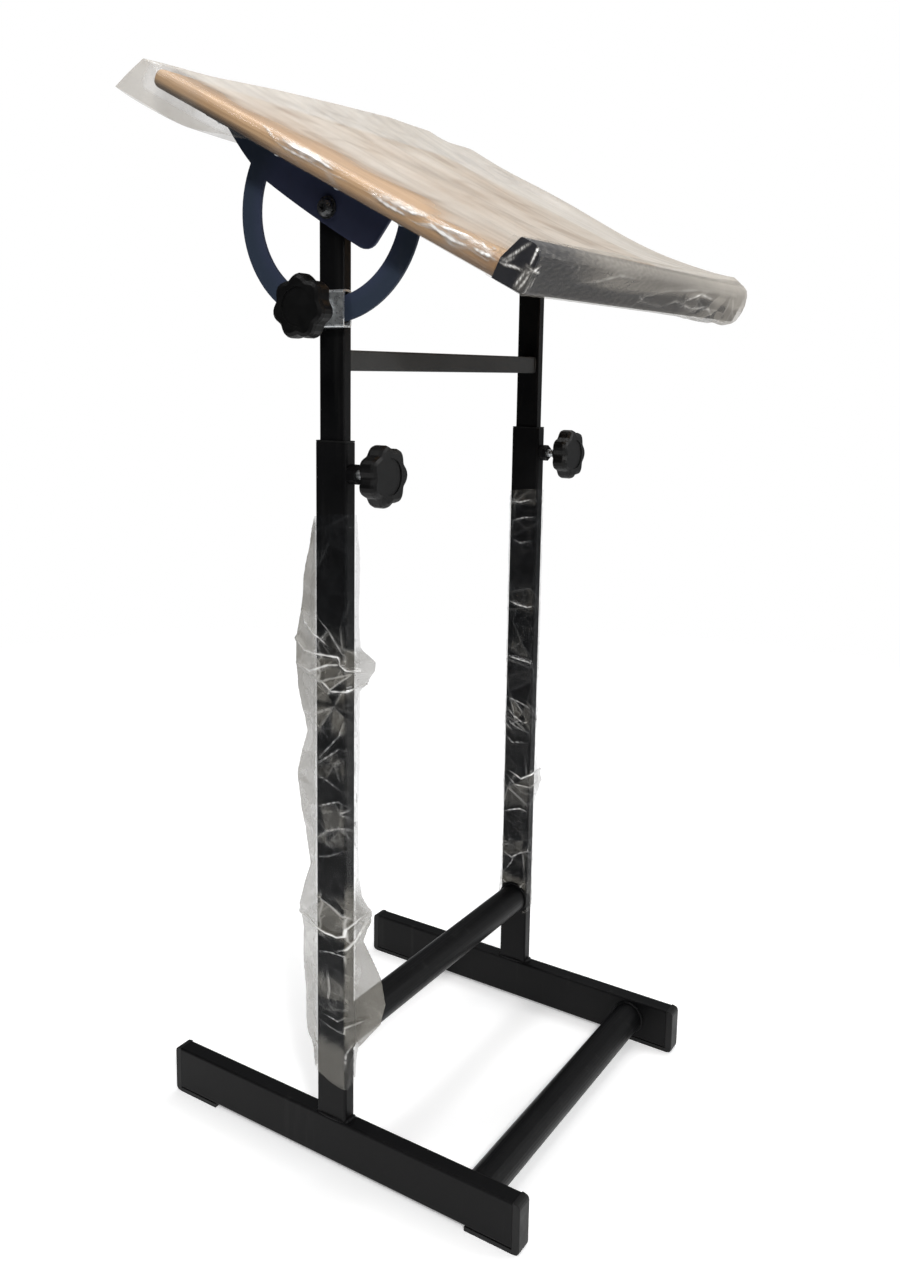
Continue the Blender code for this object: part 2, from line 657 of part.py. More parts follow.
def inner_posts():
    tube = rectangular_tube(
        INNER_WIDTH, INNER_DEPTH, INNER_WALL, INNER_INSIDE_CORNER, INNER_TOP - INNER_BOTTOM, ALONG_Z
    )
    hole = cylinder(PIVOT_DIAMETER / 2.0 + PIN_PLAY, -POST_WIDTH, POST_WIDTH, ALONG_X)
    insert_width = INNER_WIDTH - 2.0 * (INNER_WALL + GAP)
    insert_depth = INNER_DEPTH - 2.0 * (INNER_WALL + GAP)
    insert_corner = min(INNER_CORNER, insert_width / 4.0)
    insert = outline_solid((rounded_rectangle(insert_width, insert_depth, insert_corner),), PLUG_LENGTH)
    head = outline_solid((rounded_rectangle(INNER_WIDTH, INNER_DEPTH, INNER_CORNER),), PLUG_FLANGE)
    sole_width = POST_CAVITY_WIDTH - 2.0 * GAP
    sole_depth = POST_CAVITY_DEPTH - 2.0 * GAP
    sole_corner = max(INNER_CORNER, POST_INSIDE_CORNER)
    sole = outline_solid((rounded_rectangle(sole_width, sole_depth, sole_corner),), GLIDE_HEIGHT)
    plug_insert = min(PLUG_LENGTH, INNER_ABOVE_PIVOT - PIVOT_DIAMETER / 2.0 - 2.0 * PIN_PLAY)
    short_insert = outline_solid(
        (rounded_rectangle(insert_width, insert_depth, insert_corner),), plug_insert + PLUG_FLANGE / 2.0
    )
    tube_middle = (INNER_TOP + INNER_BOTTOM) / 2.0
    head_middle = INNER_TOP + GAP + PLUG_FLANGE / 2.0
    head_insert_middle = INNER_TOP + GAP + (PLUG_FLANGE / 2.0 - plug_insert) / 2.0
    sole_middle = INNER_BOTTOM - GAP - GLIDE_HEIGHT / 2.0
    sole_insert_middle = sole_middle + GAP + PLUG_LENGTH / 2.0
    for side, sign in SIDES:
        x = sign * POST_X
        made = add_part(f"inner_post_{side}", moved(tube, x, 0.0, tube_middle), BLACK_PAINT, SLIDE)
        boolean(made, moved(hole, x, 0.0, PIVOT_HEIGHT), "DIFFERENCE")
        plug = add_part(f"inner_post_plug_{side}", moved(head, x, 0.0, head_middle), CAP_PLASTIC, SLIDE)
        boolean(plug, moved(short_insert, x, 0.0, head_insert_middle), "UNION")
        glide = add_part(f"inner_post_glide_{side}", moved(sole, x, 0.0, sole_middle), CAP_PLASTIC, SLIDE)
        boolean(glide, moved(insert, x, 0.0, sole_insert_middle), "UNION")


def crossbar():
    length = POST_SPACING - INNER_WIDTH - 2.0 * GAP
    bar = rectangular_tube(
        CROSSBAR_SIZE, CROSSBAR_SIZE, CROSSBAR_WALL, CROSSBAR_INSIDE_CORNER, length, ALONG_X
    )
    add_part("crossbar", moved(bar, 0.0, 0.0, CROSSBAR_HEIGHT), GREY_PAINT, SLIDE)


def tilt_guide():
    """A short box section on the left inner post that the arc slides through."""
    depth = GUIDE_OUT - GUIDE_IN
    tube = rectangular_tube(
        GUIDE_HEIGHT, depth, GUIDE_WALL, GUIDE_INSIDE_CORNER, GUIDE_LENGTH, ALONG_Y
    )
    height = PIVOT_HEIGHT - GUIDE_DROP
    middle = (GUIDE_OUT + GUIDE_IN) / 2.0
    made = add_part("tilt_guide", moved(tube, -middle, 0.0, height), ZINC, SLIDE)
    hole = cylinder(SCREW_DIAMETER / 2.0 + PIN_PLAY, -depth, 0.0, ALONG_X)
    boolean(made, moved(hole, -middle, 0.0, height), "DIFFERENCE")


def on_pivot(mesh, x, sign):
    """A right-hand fastener at its place on the pivot axis, or its mirror image on the left."""
    right = moved(mesh, x, 0.0, PIVOT_HEIGHT)
    return right if sign > 0.0 else mirrored(right)


def pivot_fasteners():
    """Bolt, washer, spacer and nut on each side, all on the pivot axis."""
    bore = circle(PIVOT_DIAMETER / 2.0 + PIN_PLAY, SMALL_SEGMENTS)
    washer = outline_solid((circle(PIVOT_WASHER_DIAMETER / 2.0), bore), PIVOT_WASHER_THICKNESS, ALONG_X)
    spacer = outline_solid((circle(PIVOT_WASHER_DIAMETER / 2.0), bore), SPACER_THICKNESS, ALONG_X)
    nut = outline_solid((hexagon(PIVOT_NUT_FLATS), bore), PIVOT_NUT_HEIGHT, ALONG_X)
    nut_out = POST_X - INNER_WIDTH / 2.0 - GAP
    nut_in = nut_out - PIVOT_NUT_HEIGHT
    radius = PIVOT_DIAMETER / 2.0
    head = PIVOT_HEAD_DIAMETER / 2.0
    bolt = turned((
        (0.0, HEAD_IN + PIVOT_HEAD_HEIGHT),
        (head * 0.62, HEAD_IN + PIVOT_HEAD_HEIGHT),
        (head * 0.88, HEAD_IN + PIVOT_HEAD_HEIGHT * 0.72),
        (head, HEAD_IN + PIVOT_HEAD_HEIGHT * 0.25),
        (head, HEAD_IN),
        (radius, HEAD_IN),
        (radius, nut_in - PIVOT_THREAD_SHOWN),
        (0.0, nut_in - PIVOT_THREAD_SHOWN),
    ), SMALL_SEGMENTS)
    bolt.transform(Matrix.Rotation(math.pi / 2.0, 4, "Y"))
    socket_low = HEAD_IN + PIVOT_HEAD_HEIGHT - PIVOT_SOCKET_DEPTH
    socket = outline_solid((hexagon(PIVOT_SOCKET_FLATS),), 2.0 * PIVOT_SOCKET_DEPTH, ALONG_X)
    socket = moved(socket, socket_low + PIVOT_SOCKET_DEPTH)

    washer_middle = WASHER_IN + PIVOT_WASHER_THICKNESS / 2.0
    spacer_middle = SPACER_OUT - SPACER_THICKNESS / 2.0
    nut_middle = nut_out - PIVOT_NUT_HEIGHT / 2.0
    for side, sign in SIDES:
        made = add_part(f"pivot_bolt_{side}", on_pivot(bolt, 0.0, sign), ZINC, SLIDE)
        boolean(made, on_pivot(socket, 0.0, sign), "DIFFERENCE")
        add_part(f"pivot_washer_{side}", on_pivot(washer, washer_middle, sign), ZINC, SLIDE)
        add_part(f"pivot_spacer_{side}", on_pivot(spacer, spacer_middle, sign), ZINC, SLIDE)
        add_part(f"pivot_nut_{side}", on_pivot(nut, nut_middle, sign), ZINC, SLIDE)


# The board's own axes: x across, s up the slope from the pivot, h square to the board


def plate_rear_edge(steps=6):
    """From the plate's rear top down to where the arc leaves it."""
    start = (PLATE_REAR, PLATE_TOP)
    leave = (ARC_OUTER, 0.0)
    run = PLATE_REAR - ARC_OUTER
    control = (ARC_OUTER + 0.41 * run, 0.30 * PLATE_TOP)
    return [start] + swing(start, control, leave, steps)


def plate_front_edge(start, steps=8):
    """From the arc's inner root along the lower edge, round the corner and up to the board."""
    lean = math.atan2(PLATE_FRONT_LEAN, PLATE_TOP + PLATE_BELOW_PIVOT)
    corner_h = PLATE_CORNER - PLATE_BELOW_PIVOT
    drop = PLATE_TOP - corner_h
    centre_s = -PLATE_FRONT + drop * math.tan(lean) + PLATE_CORNER / math.cos(lean)
    lowest = (centre_s, -PLATE_BELOW_PIVOT)
    reach = start[0] - lowest[0]
    control = (lowest[0] + 0.55 * reach, -PLATE_BELOW_PIVOT + 0.016 * reach)
    points = swing(start, control, lowest, steps)
    points += arc(centre_s, corner_h, PLATE_CORNER, 1.5 * math.pi, math.pi + lean, 5)[1:]
    points.append((-PLATE_FRONT, PLATE_TOP))
    return points


def arc_plate_outline():
    """Chord plate and arc in one: the arc is centred on the pivot."""
    root = math.radians(-5.0)
    outer_end = -math.pi - math.asin(PLATE_TOP / ARC_OUTER)
    inner_end = -math.pi - math.asin(PLATE_TOP / ARC_INNER)
    outer_steps = round(-outer_end / ARC_STEP)
    inner_steps = round((root - inner_end) / ARC_STEP)
    points = plate_rear_edge()
    points += arc(0.0, 0.0, ARC_OUTER, 0.0, outer_end, outer_steps)[1:]
    inner = arc(0.0, 0.0, ARC_INNER, inner_end, root, inner_steps)
    points += inner
    points += plate_front_edge(inner[-1])
    return points


def plain_plate_outline():
    points = plate_rear_edge()
    start = (ARC_INNER, -ARC_INNER * math.tan(math.radians(5.0)))
    points.append(start)
    return points + plate_front_edge(start)


def flange_reach(with_arc):
    """How far the screw flange runs along the slope, front and rear."""
    front = math.sqrt(ARC_OUTER ** 2 - PLATE_TOP ** 2) if with_arc else PLATE_FRONT
    return -front, PLATE_REAR


def plate_screw_places(with_arc):
    """Slope positions of the wood screws in a flange, evenly spread."""
    front, rear = flange_reach(with_arc)
    first = front + BOARD_SCREW_END_MARGIN
    last = rear - BOARD_SCREW_END_MARGIN
    count = 4 if with_arc else 3
    return [first + (last - first) * i / (count - 1) for i in range(count)]


def side_plate(name, outline, with_arc, sign):
    """A laser-cut plate with its top folded outwards into a screw flange."""
    plate = outline_solid((outline,), PLATE_THICKNESS, ALONG_X)
    plate = moved(plate, (PLATE_IN + PLATE_OUT) / 2.0)
    front, rear = flange_reach(with_arc)
    inner_side = PLATE_IN + FLANGE_BEND
    outer_side = PLATE_OUT + FLANGE_WIDTH
    sheet = rounded_rectangle(outer_side - inner_side, rear - front, FLANGE_CORNER)
    flange = outline_solid((sheet,), FLANGE_THICKNESS)
    flange = moved(
        flange, (inner_side + outer_side) / 2.0, (front + rear) / 2.0, (FLANGE_TOP + FLANGE_BOTTOM) / 2.0
    )
    holes = [cylinder(PIVOT_DIAMETER / 2.0 + PIN_PLAY, PLATE_IN / 2.0, 2.0 * PLATE_OUT, ALONG_X)]
    screw_hole = cylinder(BOARD_SCREW_DIAMETER / 2.0 + PIN_PLAY, 0.0, 2.0 * FLANGE_TOP)
    for place in plate_screw_places(with_arc):
        holes.append(moved(screw_hole, FLANGE_MIDDLE, place))
    cuts = merged(holes)
    if sign < 0.0:
        plate, flange, cuts = (mirrored(mesh) for mesh in (plate, flange, cuts))
    made = add_part(name, plate, NAVY_PAINT, TILT_AXIS)
    boolean(made, flange, "UNION")
    boolean(made, cuts, "DIFFERENCE")


def all_screw_places():
    """Every wood screw under the board as (x, slope)."""
    places = []
    for with_arc, sign in ((True, -1.0), (False, 1.0)):
        places += [(sign * FLANGE_MIDDLE, s) for s in plate_screw_places(with_arc)]
    return places


def plate_screws():
    head = FLANGE_BOTTOM - GAP
    radius = BOARD_SCREW_DIAMETER / 2.0
    head_radius = BOARD_SCREW_HEAD / 2.0
    screw = turned((
        (0.0, head + BOARD_SCREW_LENGTH),
        (radius * 0.4, head + BOARD_SCREW_LENGTH),
        (radius, head + BOARD_SCREW_LENGTH - radius),
        (radius, head),
        (head_radius, head),
        (head_radius, head - BOARD_SCREW_HEAD_HEIGHT * 0.4),
        (head_radius * 0.6, head - BOARD_SCREW_HEAD_HEIGHT),
        (0.0, head - BOARD_SCREW_HEAD_HEIGHT),
    ), 12)
    for number, (x, s) in enumerate(all_screw_places(), 1):
        add_part(f"plate_screw_{number}", moved(screw, x, s), ZINC, TILT_AXIS)


def dowel_places():
    return [(i - (DOWEL_COUNT - 1) / 2.0) * DOWEL_SPACING for i in range(DOWEL_COUNT)]


def dowels(radius, length):
    """Round bars across the joint between board and ledge."""
    joint = BOARD_FRONT - GAP / 2.0
    middle = BOARD_ABOVE_PIVOT + BOARD_THICKNESS / 2.0
    bar = cylinder(radius, -length / 2.0, length / 2.0, ALONG_Y, 16)
    return [moved(bar, x, joint, middle) for x in dowel_places()]


def board():
    """A plain wooden panel with rounded side and rear edges, square where the ledge is glued on."""
    half = BOARD_WIDTH / 2.0
    low = (-half, BOARD_FRONT, BOARD_ABOVE_PIVOT)
    high = (half, BOARD_REAR, BOARD_ABOVE_PIVOT + BOARD_THICKNESS)
    mesh = box(low, high)
    work = bmesh.new()
    work.from_mesh(mesh)
    rim = [e for e in work.edges if any(v.co.y > BOARD_REAR - GAP for v in e.verts)]
    bmesh.ops.bevel(
        work, geom=rim, offset=BOARD_EDGE, segments=4, profile=0.5, affect="EDGES", clamp_overlap=True
    )
    work.to_mesh(mesh)
    work.free()
    made = add_part("book_board", mesh, BEECH, TILT_AXIS)
    top = BOARD_ABOVE_PIVOT + BOARD_SCREW_LENGTH
    pilot = cylinder(BOARD_SCREW_DIAMETER / 2.0 + PIN_PLAY, 0.0, top)
    pilots = [moved(pilot, x, s) for x, s in all_screw_places()]
    cuts = merged(pilots + dowels(DOWEL_DIAMETER / 2.0 + GAP, DOWEL_LENGTH + 2.0 * GAP))
    boolean(made, cuts, "DIFFERENCE")


def ledge_outline(skin=0.0):
    """Ledge section from its bottom front, over the lip, to the foot of the lip's back."""
    front = LEDGE_FRONT - skin
    bottom = BOARD_ABOVE_PIVOT
    top = bottom + LEDGE_HEIGHT
    front_centre = LEDGE_FRONT + LEDGE_FRONT_ROUND
    back_s = LEDGE_FRONT + LEDGE_TOP
    root = (LEDGE_FRONT + LEDGE_BASE, bottom + BOARD_THICKNESS)
    slope = math.atan2(root[0] - back_s, top - root[1])
    back_centre_s = back_s - LEDGE_BACK_ROUND * (1.0 - math.sin(slope)) / math.cos(slope)
    points = []
    if skin == 0.0:
        points += arc(
            front + LEDGE_BOTTOM_ROUND, bottom + LEDGE_BOTTOM_ROUND, LEDGE_BOTTOM_ROUND,
            1.5 * math.pi, math.pi, 2,
        )
    else:
        points.append((front, bottom))
    front_round = LEDGE_FRONT_ROUND + skin
    back_round = LEDGE_BACK_ROUND + skin
    points += arc(front_centre, top - LEDGE_FRONT_ROUND, front_round, math.pi, math.pi / 2.0, 5)
    points += arc(back_centre_s, top - LEDGE_BACK_ROUND, back_round, math.pi / 2.0, slope, 3)
    return points, root, slope


def ledge():
    """A moulded strip along the board's front whose lip keeps a book from sliding off."""
    points, root, _ = ledge_outline()
    points += [root, (root[0], BOARD_ABOVE_PIVOT)]
    mesh = outline_solid((points,), BOARD_WIDTH, ALONG_X)
    made = add_part("book_ledge", mesh, DARK_LEDGE, TILT_AXIS)
    holes = merged(dowels(DOWEL_DIAMETER / 2.0 + GAP, DOWEL_LENGTH + 2.0 * GAP))
    boolean(made, holes, "DIFFERENCE")
    for number, bar in enumerate(dowels(DOWEL_DIAMETER / 2.0, DOWEL_LENGTH), 1):
        add_part(f"ledge_dowel_{number}", bar, DOWEL_WOOD, TILT_AXIS)


def board_film():
    """A clear film drawn over the board and ledge, open underneath."""
    points, root, slope = ledge_outline(FILM_GAP)
    board_top = BOARD_ABOVE_PIVOT + BOARD_THICKNESS
    corner_s = root[0] + FILM_GAP / math.cos(slope) - FILM_GAP * math.tan(slope)
    points.append((corner_s, board_top + FILM_GAP))
    rear_centre = BOARD_REAR - BOARD_EDGE
    points += arc(rear_centre, board_top - BOARD_EDGE, BOARD_EDGE + FILM_GAP, math.pi / 2.0, 0.0, 4)
    points.append((BOARD_REAR + FILM_GAP, BOARD_ABOVE_PIVOT))
    mesh = outline_solid((points,), BOARD_WIDTH + 2.0 * FILM_GAP, ALONG_X)
    work = bmesh.new()
    work.from_mesh(mesh)
    under = [f for f in work.faces if max(v.co.z for v in f.verts) < BOARD_ABOVE_PIVOT + GAP]
    bmesh.ops.delete(work, geom=under, context="FACES")
    work.to_mesh(mesh)
    work.free()
    made = add_part("board_film", mesh, CLEAR_FILM, TILT_AXIS)
    wall = made.modifiers.new("film", "SOLIDIFY")
    wall.thickness = FILM_THICKNESS
    wall.offset = 1.0
    wall.use_even_offset = True


def build():
    feet()
    outer_posts()
    guide_bushes()
    stretchers()
    post_films()
    height_clamps()
    inner_posts()
    crossbar()
    tilt_guide()
    tilt_clamp()
    pivot_fasteners()
    side_plate("tilt_plate_left", arc_plate_outline(), True, -1.0)
    side_plate("pivot_plate_right", plain_plate_outline(), False, 1.0)
    plate_screws()
    board()
    ledge()
    board_film()


build()
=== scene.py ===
import math

import bpy
import numpy as np
from mathutils import Matrix, Vector
from mathutils.geometry import delaunay_2d_cdt


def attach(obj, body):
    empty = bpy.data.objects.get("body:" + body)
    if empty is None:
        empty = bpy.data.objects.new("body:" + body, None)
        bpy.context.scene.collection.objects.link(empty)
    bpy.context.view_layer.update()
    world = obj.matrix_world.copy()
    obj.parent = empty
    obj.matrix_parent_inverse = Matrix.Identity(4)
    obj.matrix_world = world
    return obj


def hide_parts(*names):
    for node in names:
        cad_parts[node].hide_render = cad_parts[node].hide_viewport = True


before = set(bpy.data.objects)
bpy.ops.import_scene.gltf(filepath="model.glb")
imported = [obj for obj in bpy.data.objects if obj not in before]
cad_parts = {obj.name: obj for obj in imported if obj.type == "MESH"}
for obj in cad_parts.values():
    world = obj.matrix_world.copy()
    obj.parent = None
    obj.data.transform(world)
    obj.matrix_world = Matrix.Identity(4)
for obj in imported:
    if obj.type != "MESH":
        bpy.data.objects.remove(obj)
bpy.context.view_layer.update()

# Places on the stand that the films, the welds and the camera follow, in metres
STAND_SHIFT = 0.009968662
PIVOT = Vector((0.0, STAND_SHIFT, 0.995))
BOARD_TILT = math.radians(27.0)
POST_X = 0.200

# The wood in the board's own frame, in millimetres: x across, s front to rear, h square to the board
HALF_WIDTH = 260.0
BOARD_BOTTOM = 26.7
BOARD_TOP = 44.7
BOARD_ROOT = -217.5
BOARD_REAR = 216.8
EDGE_ROUND = 7.0
LEDGE_FRONT = -249.5
LEDGE_TOP = 66.7
LEDGE_CREST = -227.5
LEDGE_ROUND = 10.0

# The outer post in plan and the rear stretcher that ends at it, in millimetres
POST_HALF_DEPTH = 19.0
POST_HALF_WIDTH = 8.0
STRETCHER_HEIGHT = 144.5
STRETCHER_RADIUS = 18.0

# All films: the least gap under them and the half width of a fold's foot, in millimetres,
# and how much brighter a fold's painted glint line is drawn than its table says
SKIN = 0.7
FOLD_FOOT = 4.0
FOLD_GAIN = 1.9

# A length or share too small to matter
TINY = 1e-6


# Camera, floor and light

def photo_camera():
    """A camera where the photograph was taken from, for a 900 by 1273 frame."""
    wide, high, focal = 900.0, 1273.0, 1125.682
    centre_x, centre_y = 417.081, 551.064
    place = (-1.07476, -0.67468 + STAND_SHIFT, 0.84323)
    azimuth, rise, roll = (math.radians(angle) for angle in (56.5575, -9.012, 0.6291))
    ahead = Vector((
        math.sin(azimuth) * math.cos(rise), math.cos(azimuth) * math.cos(rise), math.sin(rise)
    ))
    level = Vector((math.cos(azimuth), -math.sin(azimuth), 0.0))
    up = level.cross(ahead)
    right = level * math.cos(roll) + up * math.sin(roll)
    top = up * math.cos(roll) - level * math.sin(roll)
    data = bpy.data.cameras.new("photo_camera")
    data.sensor_fit = "VERTICAL"
    data.sensor_height = 36.0
    data.lens = focal / high * data.sensor_height
    data.shift_x = (wide / 2.0 - centre_x) / high
    data.shift_y = (centre_y - high / 2.0) / high
    data.clip_start = 0.05
    camera = bpy.data.objects.new("photo_camera", data)
    camera.matrix_world = Matrix((
        (right.x, top.x, -ahead.x, place[0]),
        (right.y, top.y, -ahead.y, place[1]),
        (right.z, top.z, -ahead.z, place[2]),
        (0.0, 0.0, 0.0, 1.0),
    ))
    bpy.context.scene.collection.objects.link(camera)
    bpy.context.scene.camera = camera


def studio_floor():
    """A pale floor that glows a little and fades out away from the stand."""
    bpy.ops.object.select_all(action="DESELECT")
    bpy.ops.mesh.primitive_plane_add(size=12.0, location=(0.0, 0.0, 0.0))
    floor = bpy.context.object
    floor.name = "studio_floor"
    pale, tree, shader = new_finish("pale_floor")
    where = object_place(tree)
    cloud = noise(tree, where, 0.8, 3.0)
    ramp_into(tree, cloud, shader.inputs["Base Color"], ((0.3, 0.93), (0.7, 0.96)))
    reach = vector_math(tree, "LENGTH", where).outputs["Value"]
    far = calculate(tree, "MULTIPLY", reach, 0.25)
    ramp_into(tree, far, shader.inputs["Alpha"], ((0.12, 1.0), (0.62, 0.0)))
    shader.inputs["Roughness"].default_value = 0.9
    shader.inputs["Specular IOR Level"].default_value = 0.1
    shader.inputs["Emission Color"].default_value = (1.0, 1.0, 1.0, 1.0)
    ramp_into(tree, far, shader.inputs["Emission Strength"], ((0.12, 0.32), (0.45, 0.8)))
    floor.data.materials.append(pale)


def studio_room():
    """A room that is plain white to the camera and lights the stand more from its bright side."""
    world = bpy.data.worlds.new("studio_room")
    world.use_nodes = True
    tree = world.node_tree
    way = tree.nodes.new("ShaderNodeTexCoord").outputs["Generated"]
    lean = vector_math(tree, "DOT_PRODUCT", way, (0.42, -0.30, 0.45)).outputs["Value"]
    room = tree.nodes["Background"]
    ramp_into(tree, lean, room.inputs["Color"], (
        (0.0, (0.03, 0.03, 0.032)), (0.28, (0.16, 0.165, 0.17)), (0.6, (0.34, 0.345, 0.35)),
    ))
    wall = tree.nodes.new("ShaderNodeBackground")
    wall.inputs["Color"].default_value = (1.0, 1.0, 1.0, 1.0)
    wall.inputs["Strength"].default_value = 1.0
    seen = tree.nodes.new("ShaderNodeLightPath")
    choose = tree.nodes.new("ShaderNodeMixShader")
    tree.links.new(seen.outputs["Is Camera Ray"], choose.inputs[0])
    tree.links.new(room.outputs[0], choose.inputs[1])
    tree.links.new(wall.outputs[0], choose.inputs[2])
    tree.links.new(choose.outputs[0], tree.nodes["World Output"].inputs["Surface"])
    bpy.context.scene.world = world
    bpy.context.scene.view_settings.view_transform = "Standard"


def soft_light(name, place, aim, wide, high, power):
    """A soft panel light that faces a point of the stand."""
    data = bpy.data.lights.new(name, "AREA")
    data.shape = "RECTANGLE"
    data.size = wide
    data.size_y = high
    data.energy = power
    panel = bpy.data.objects.new(name, data)
    panel.location = place
    panel.rotation_euler = (Vector(aim) - Vector(place)).to_track_quat("-Z", "Y").to_euler()
    bpy.context.scene.collection.objects.link(panel)


# Finishes

def new_finish(name):
    """An empty material with its main shader."""
    finish = bpy.data.materials.new(name)
    finish.use_nodes = True
    tree = finish.node_tree
    return finish, tree, tree.nodes["Principled BSDF"]


def object_place(tree, stretch=(1.0, 1.0, 1.0), tilted=False):
    """Object coordinates, turned into the board's own frame if tilted, and stretched."""
    where = tree.nodes.new("ShaderNodeTexCoord").outputs["Object"]
    if tilted:
        turn = tree.nodes.new("ShaderNodeMapping")
        turn.vector_type = "TEXTURE"
        turn.inputs["Location"].default_value = PIVOT
        turn.inputs["Rotation"].default_value = (BOARD_TILT, 0.0, 0.0)
        tree.links.new(where, turn.inputs["Vector"])
        where = turn.outputs["Vector"]
    if stretch != (1.0, 1.0, 1.0):
        scale = tree.nodes.new("ShaderNodeMapping")
        scale.inputs["Scale"].default_value = stretch
        tree.links.new(where, scale.inputs["Vector"])
        where = scale.outputs["Vector"]
    return where


def noise(tree, where, scale, detail=4.0, rough=0.55, twist=0.0):
    """Cloudy noise, as a value."""
    cloud = tree.nodes.new("ShaderNodeTexNoise")
    cloud.inputs["Scale"].default_value = scale
    cloud.inputs["Detail"].default_value = detail
    cloud.inputs["Roughness"].default_value = rough
    cloud.inputs["Distortion"].default_value = twist
    tree.links.new(where, cloud.inputs["Vector"])
    return cloud.outputs["Fac"]


def ramp(tree, value, stops):
    """A value spread over colours or greys."""
    spread = tree.nodes.new("ShaderNodeValToRGB")
    band = spread.color_ramp
    while len(band.elements) < len(stops):
        band.elements.new(0.5)
    for element, (spot, colour) in zip(band.elements, stops):
        element.position = spot
        element.color = (*colour, 1.0) if isinstance(colour, tuple) else (colour, colour, colour, 1.0)
    tree.links.new(value, spread.inputs["Fac"])
    return spread.outputs["Color"]


def ramp_into(tree, value, socket, stops):
    """A value spread over colours or greys and fed to a shader's socket."""
    tree.links.new(ramp(tree, value, stops), socket)


def calculate(tree, how, first, second, clamp=False):
    """Two values joined by simple arithmetic; either may be a plain number."""
    join = tree.nodes.new("ShaderNodeMath")
    join.operation = how
    join.use_clamp = clamp
    for socket, value in zip(join.inputs, (first, second)):
        if isinstance(value, float):
            socket.default_value = value
        else:
            tree.links.new(value, socket)
    return join.outputs[0]


def vector_math(tree, how, vector, plain=(0.0, 0.0, 0.0)):
    """A node that joins a vector and a plain one."""
    join = tree.nodes.new("ShaderNodeVectorMath")
    join.operation = how
    join.inputs[1].default_value = plain
    tree.links.new(vector, join.inputs[0])
    return join


def blend_colours(tree, share, first, second):
    """Two colours mixed by a value; either may be a plain colour."""
    mixed = tree.nodes.new("ShaderNodeMix")
    mixed.data_type = "RGBA"
    tree.links.new(share, mixed.inputs[0])
    for socket, value in ((mixed.inputs[6], first), (mixed.inputs[7], second)):
        if isinstance(value, tuple):
            socket.default_value = (*value, 1.0)
        else:
            tree.links.new(value, socket)
    return mixed.outputs[2]


def raise_bump(tree, shader, heights):
    """Bumps laid over each other: each is (height value, depth in metres, strength)."""
    below = None
    for height, depth, strength in heights:
        layer = tree.nodes.new("ShaderNodeBump")
        layer.inputs["Distance"].default_value = depth
        layer.inputs["Strength"].default_value = strength
        tree.links.new(height, layer.inputs["Height"])
        if below is not None:
            tree.links.new(below, layer.inputs["Normal"])
        below = layer.outputs["Normal"]
    tree.links.new(below, shader.inputs["Normal"])


def powder_coat(name, dark, light, dust, low_gloss, high_gloss, shine, rim=None):
    """Fine pebbled powder coat with faint dust and rubbed patches; rim is its colour far from the pivot, and
    nearer the pivot, where the board shades it, the coat is painted lighter.
    """
    finish, tree, shader = new_finish(name)
    where = object_place(tree)
    patch = noise(tree, where, 14.0, 5.0)
    pebble = noise(tree, where, 1500.0, 2.0)
    specks = noise(tree, where, 420.0, 3.0, 0.7)
    rub = noise(tree, object_place(tree, (60.0, 60.0, 4.0)), 1.0, 4.0)
    coat = ramp(tree, patch, ((0.3, dark), (0.72, light)))
    if rim is not None:
        # painted light: nearer the pivot, in the board's shade, the coat keeps its lighter colours, and
        # farther out it turns to the rim colour
        side_on = vector_math(tree, "MULTIPLY", where, (0.0, 1.0, 1.0)).outputs["Vector"]
        apart = vector_math(tree, "DISTANCE", side_on, (0.0, PIVOT.y, PIVOT.z)).outputs["Value"]
        share = ramp(tree, calculate(tree, "MULTIPLY", apart, 5.0), ((0.36, 0.0), (0.48, 1.0)))
        coat = blend_colours(tree, share, coat, rim)
    spotted = blend_colours(tree, ramp(tree, specks, ((0.66, 0.0), (0.78, 0.55))), coat, dust)
    worn = blend_colours(tree, ramp(tree, rub, ((0.62, 0.0), (0.80, 0.30))), spotted, dust)
    tree.links.new(worn, shader.inputs["Base Color"])
    sheen = calculate(tree, "ADD", patch, calculate(tree, "MULTIPLY", specks, 0.35))
    ramp_into(tree, sheen, shader.inputs["Roughness"], ((0.4, low_gloss), (1.0, high_gloss)))
    shader.inputs["Specular IOR Level"].default_value = shine
    raise_bump(tree, shader, ((pebble, 0.0002, 0.35), (specks, 0.0002, 0.15)))
    return finish


def moulded_plastic(name, dark, light, low_gloss, high_gloss):
    """Black moulded plastic with a fine spark-eroded grain and soft sheen."""
    finish, tree, shader = new_finish(name)
    where = object_place(tree)
    grain = noise(tree, where, 2200.0, 2.0, 0.6)
    flow = noise(tree, where, 60.0, 4.0, 0.55, 0.8)
    ramp_into(tree, flow, shader.inputs["Base Color"], ((0.3, dark), (0.7, light)))
    ramp_into(tree, flow, shader.inputs["Roughness"], ((0.3, low_gloss), (0.75, high_gloss)))
    shader.inputs["Specular IOR Level"].default_value = 0.25
    raise_bump(tree, shader, ((grain, 0.00015, 0.35), (flow, 0.0004, 0.12)))
    return finish


def zinc_plate(name, dark, middle, bright):
    """Zinc plating with a mottled bloom and fine rolling lines."""
    finish, tree, shader = new_finish(name)
    where = object_place(tree)
    bloom = noise(tree, where, 210.0, 5.0, 0.6, 0.6)
    lines = noise(tree, object_place(tree, (300.0, 300.0, 3000.0)), 1.0, 2.0)
    ramp_into(tree, bloom, shader.inputs["Base Color"], ((0.25, dark), (0.55, middle), (0.8, bright)))
    ramp_into(tree, bloom, shader.inputs["Roughness"], ((0.3, 0.22), (0.75, 0.42)))
    shader.inputs["Metallic"].default_value = 0.8
    raise_bump(tree, shader, ((lines, 0.0001, 0.25), (bloom, 0.0002, 0.15)))
    return finish


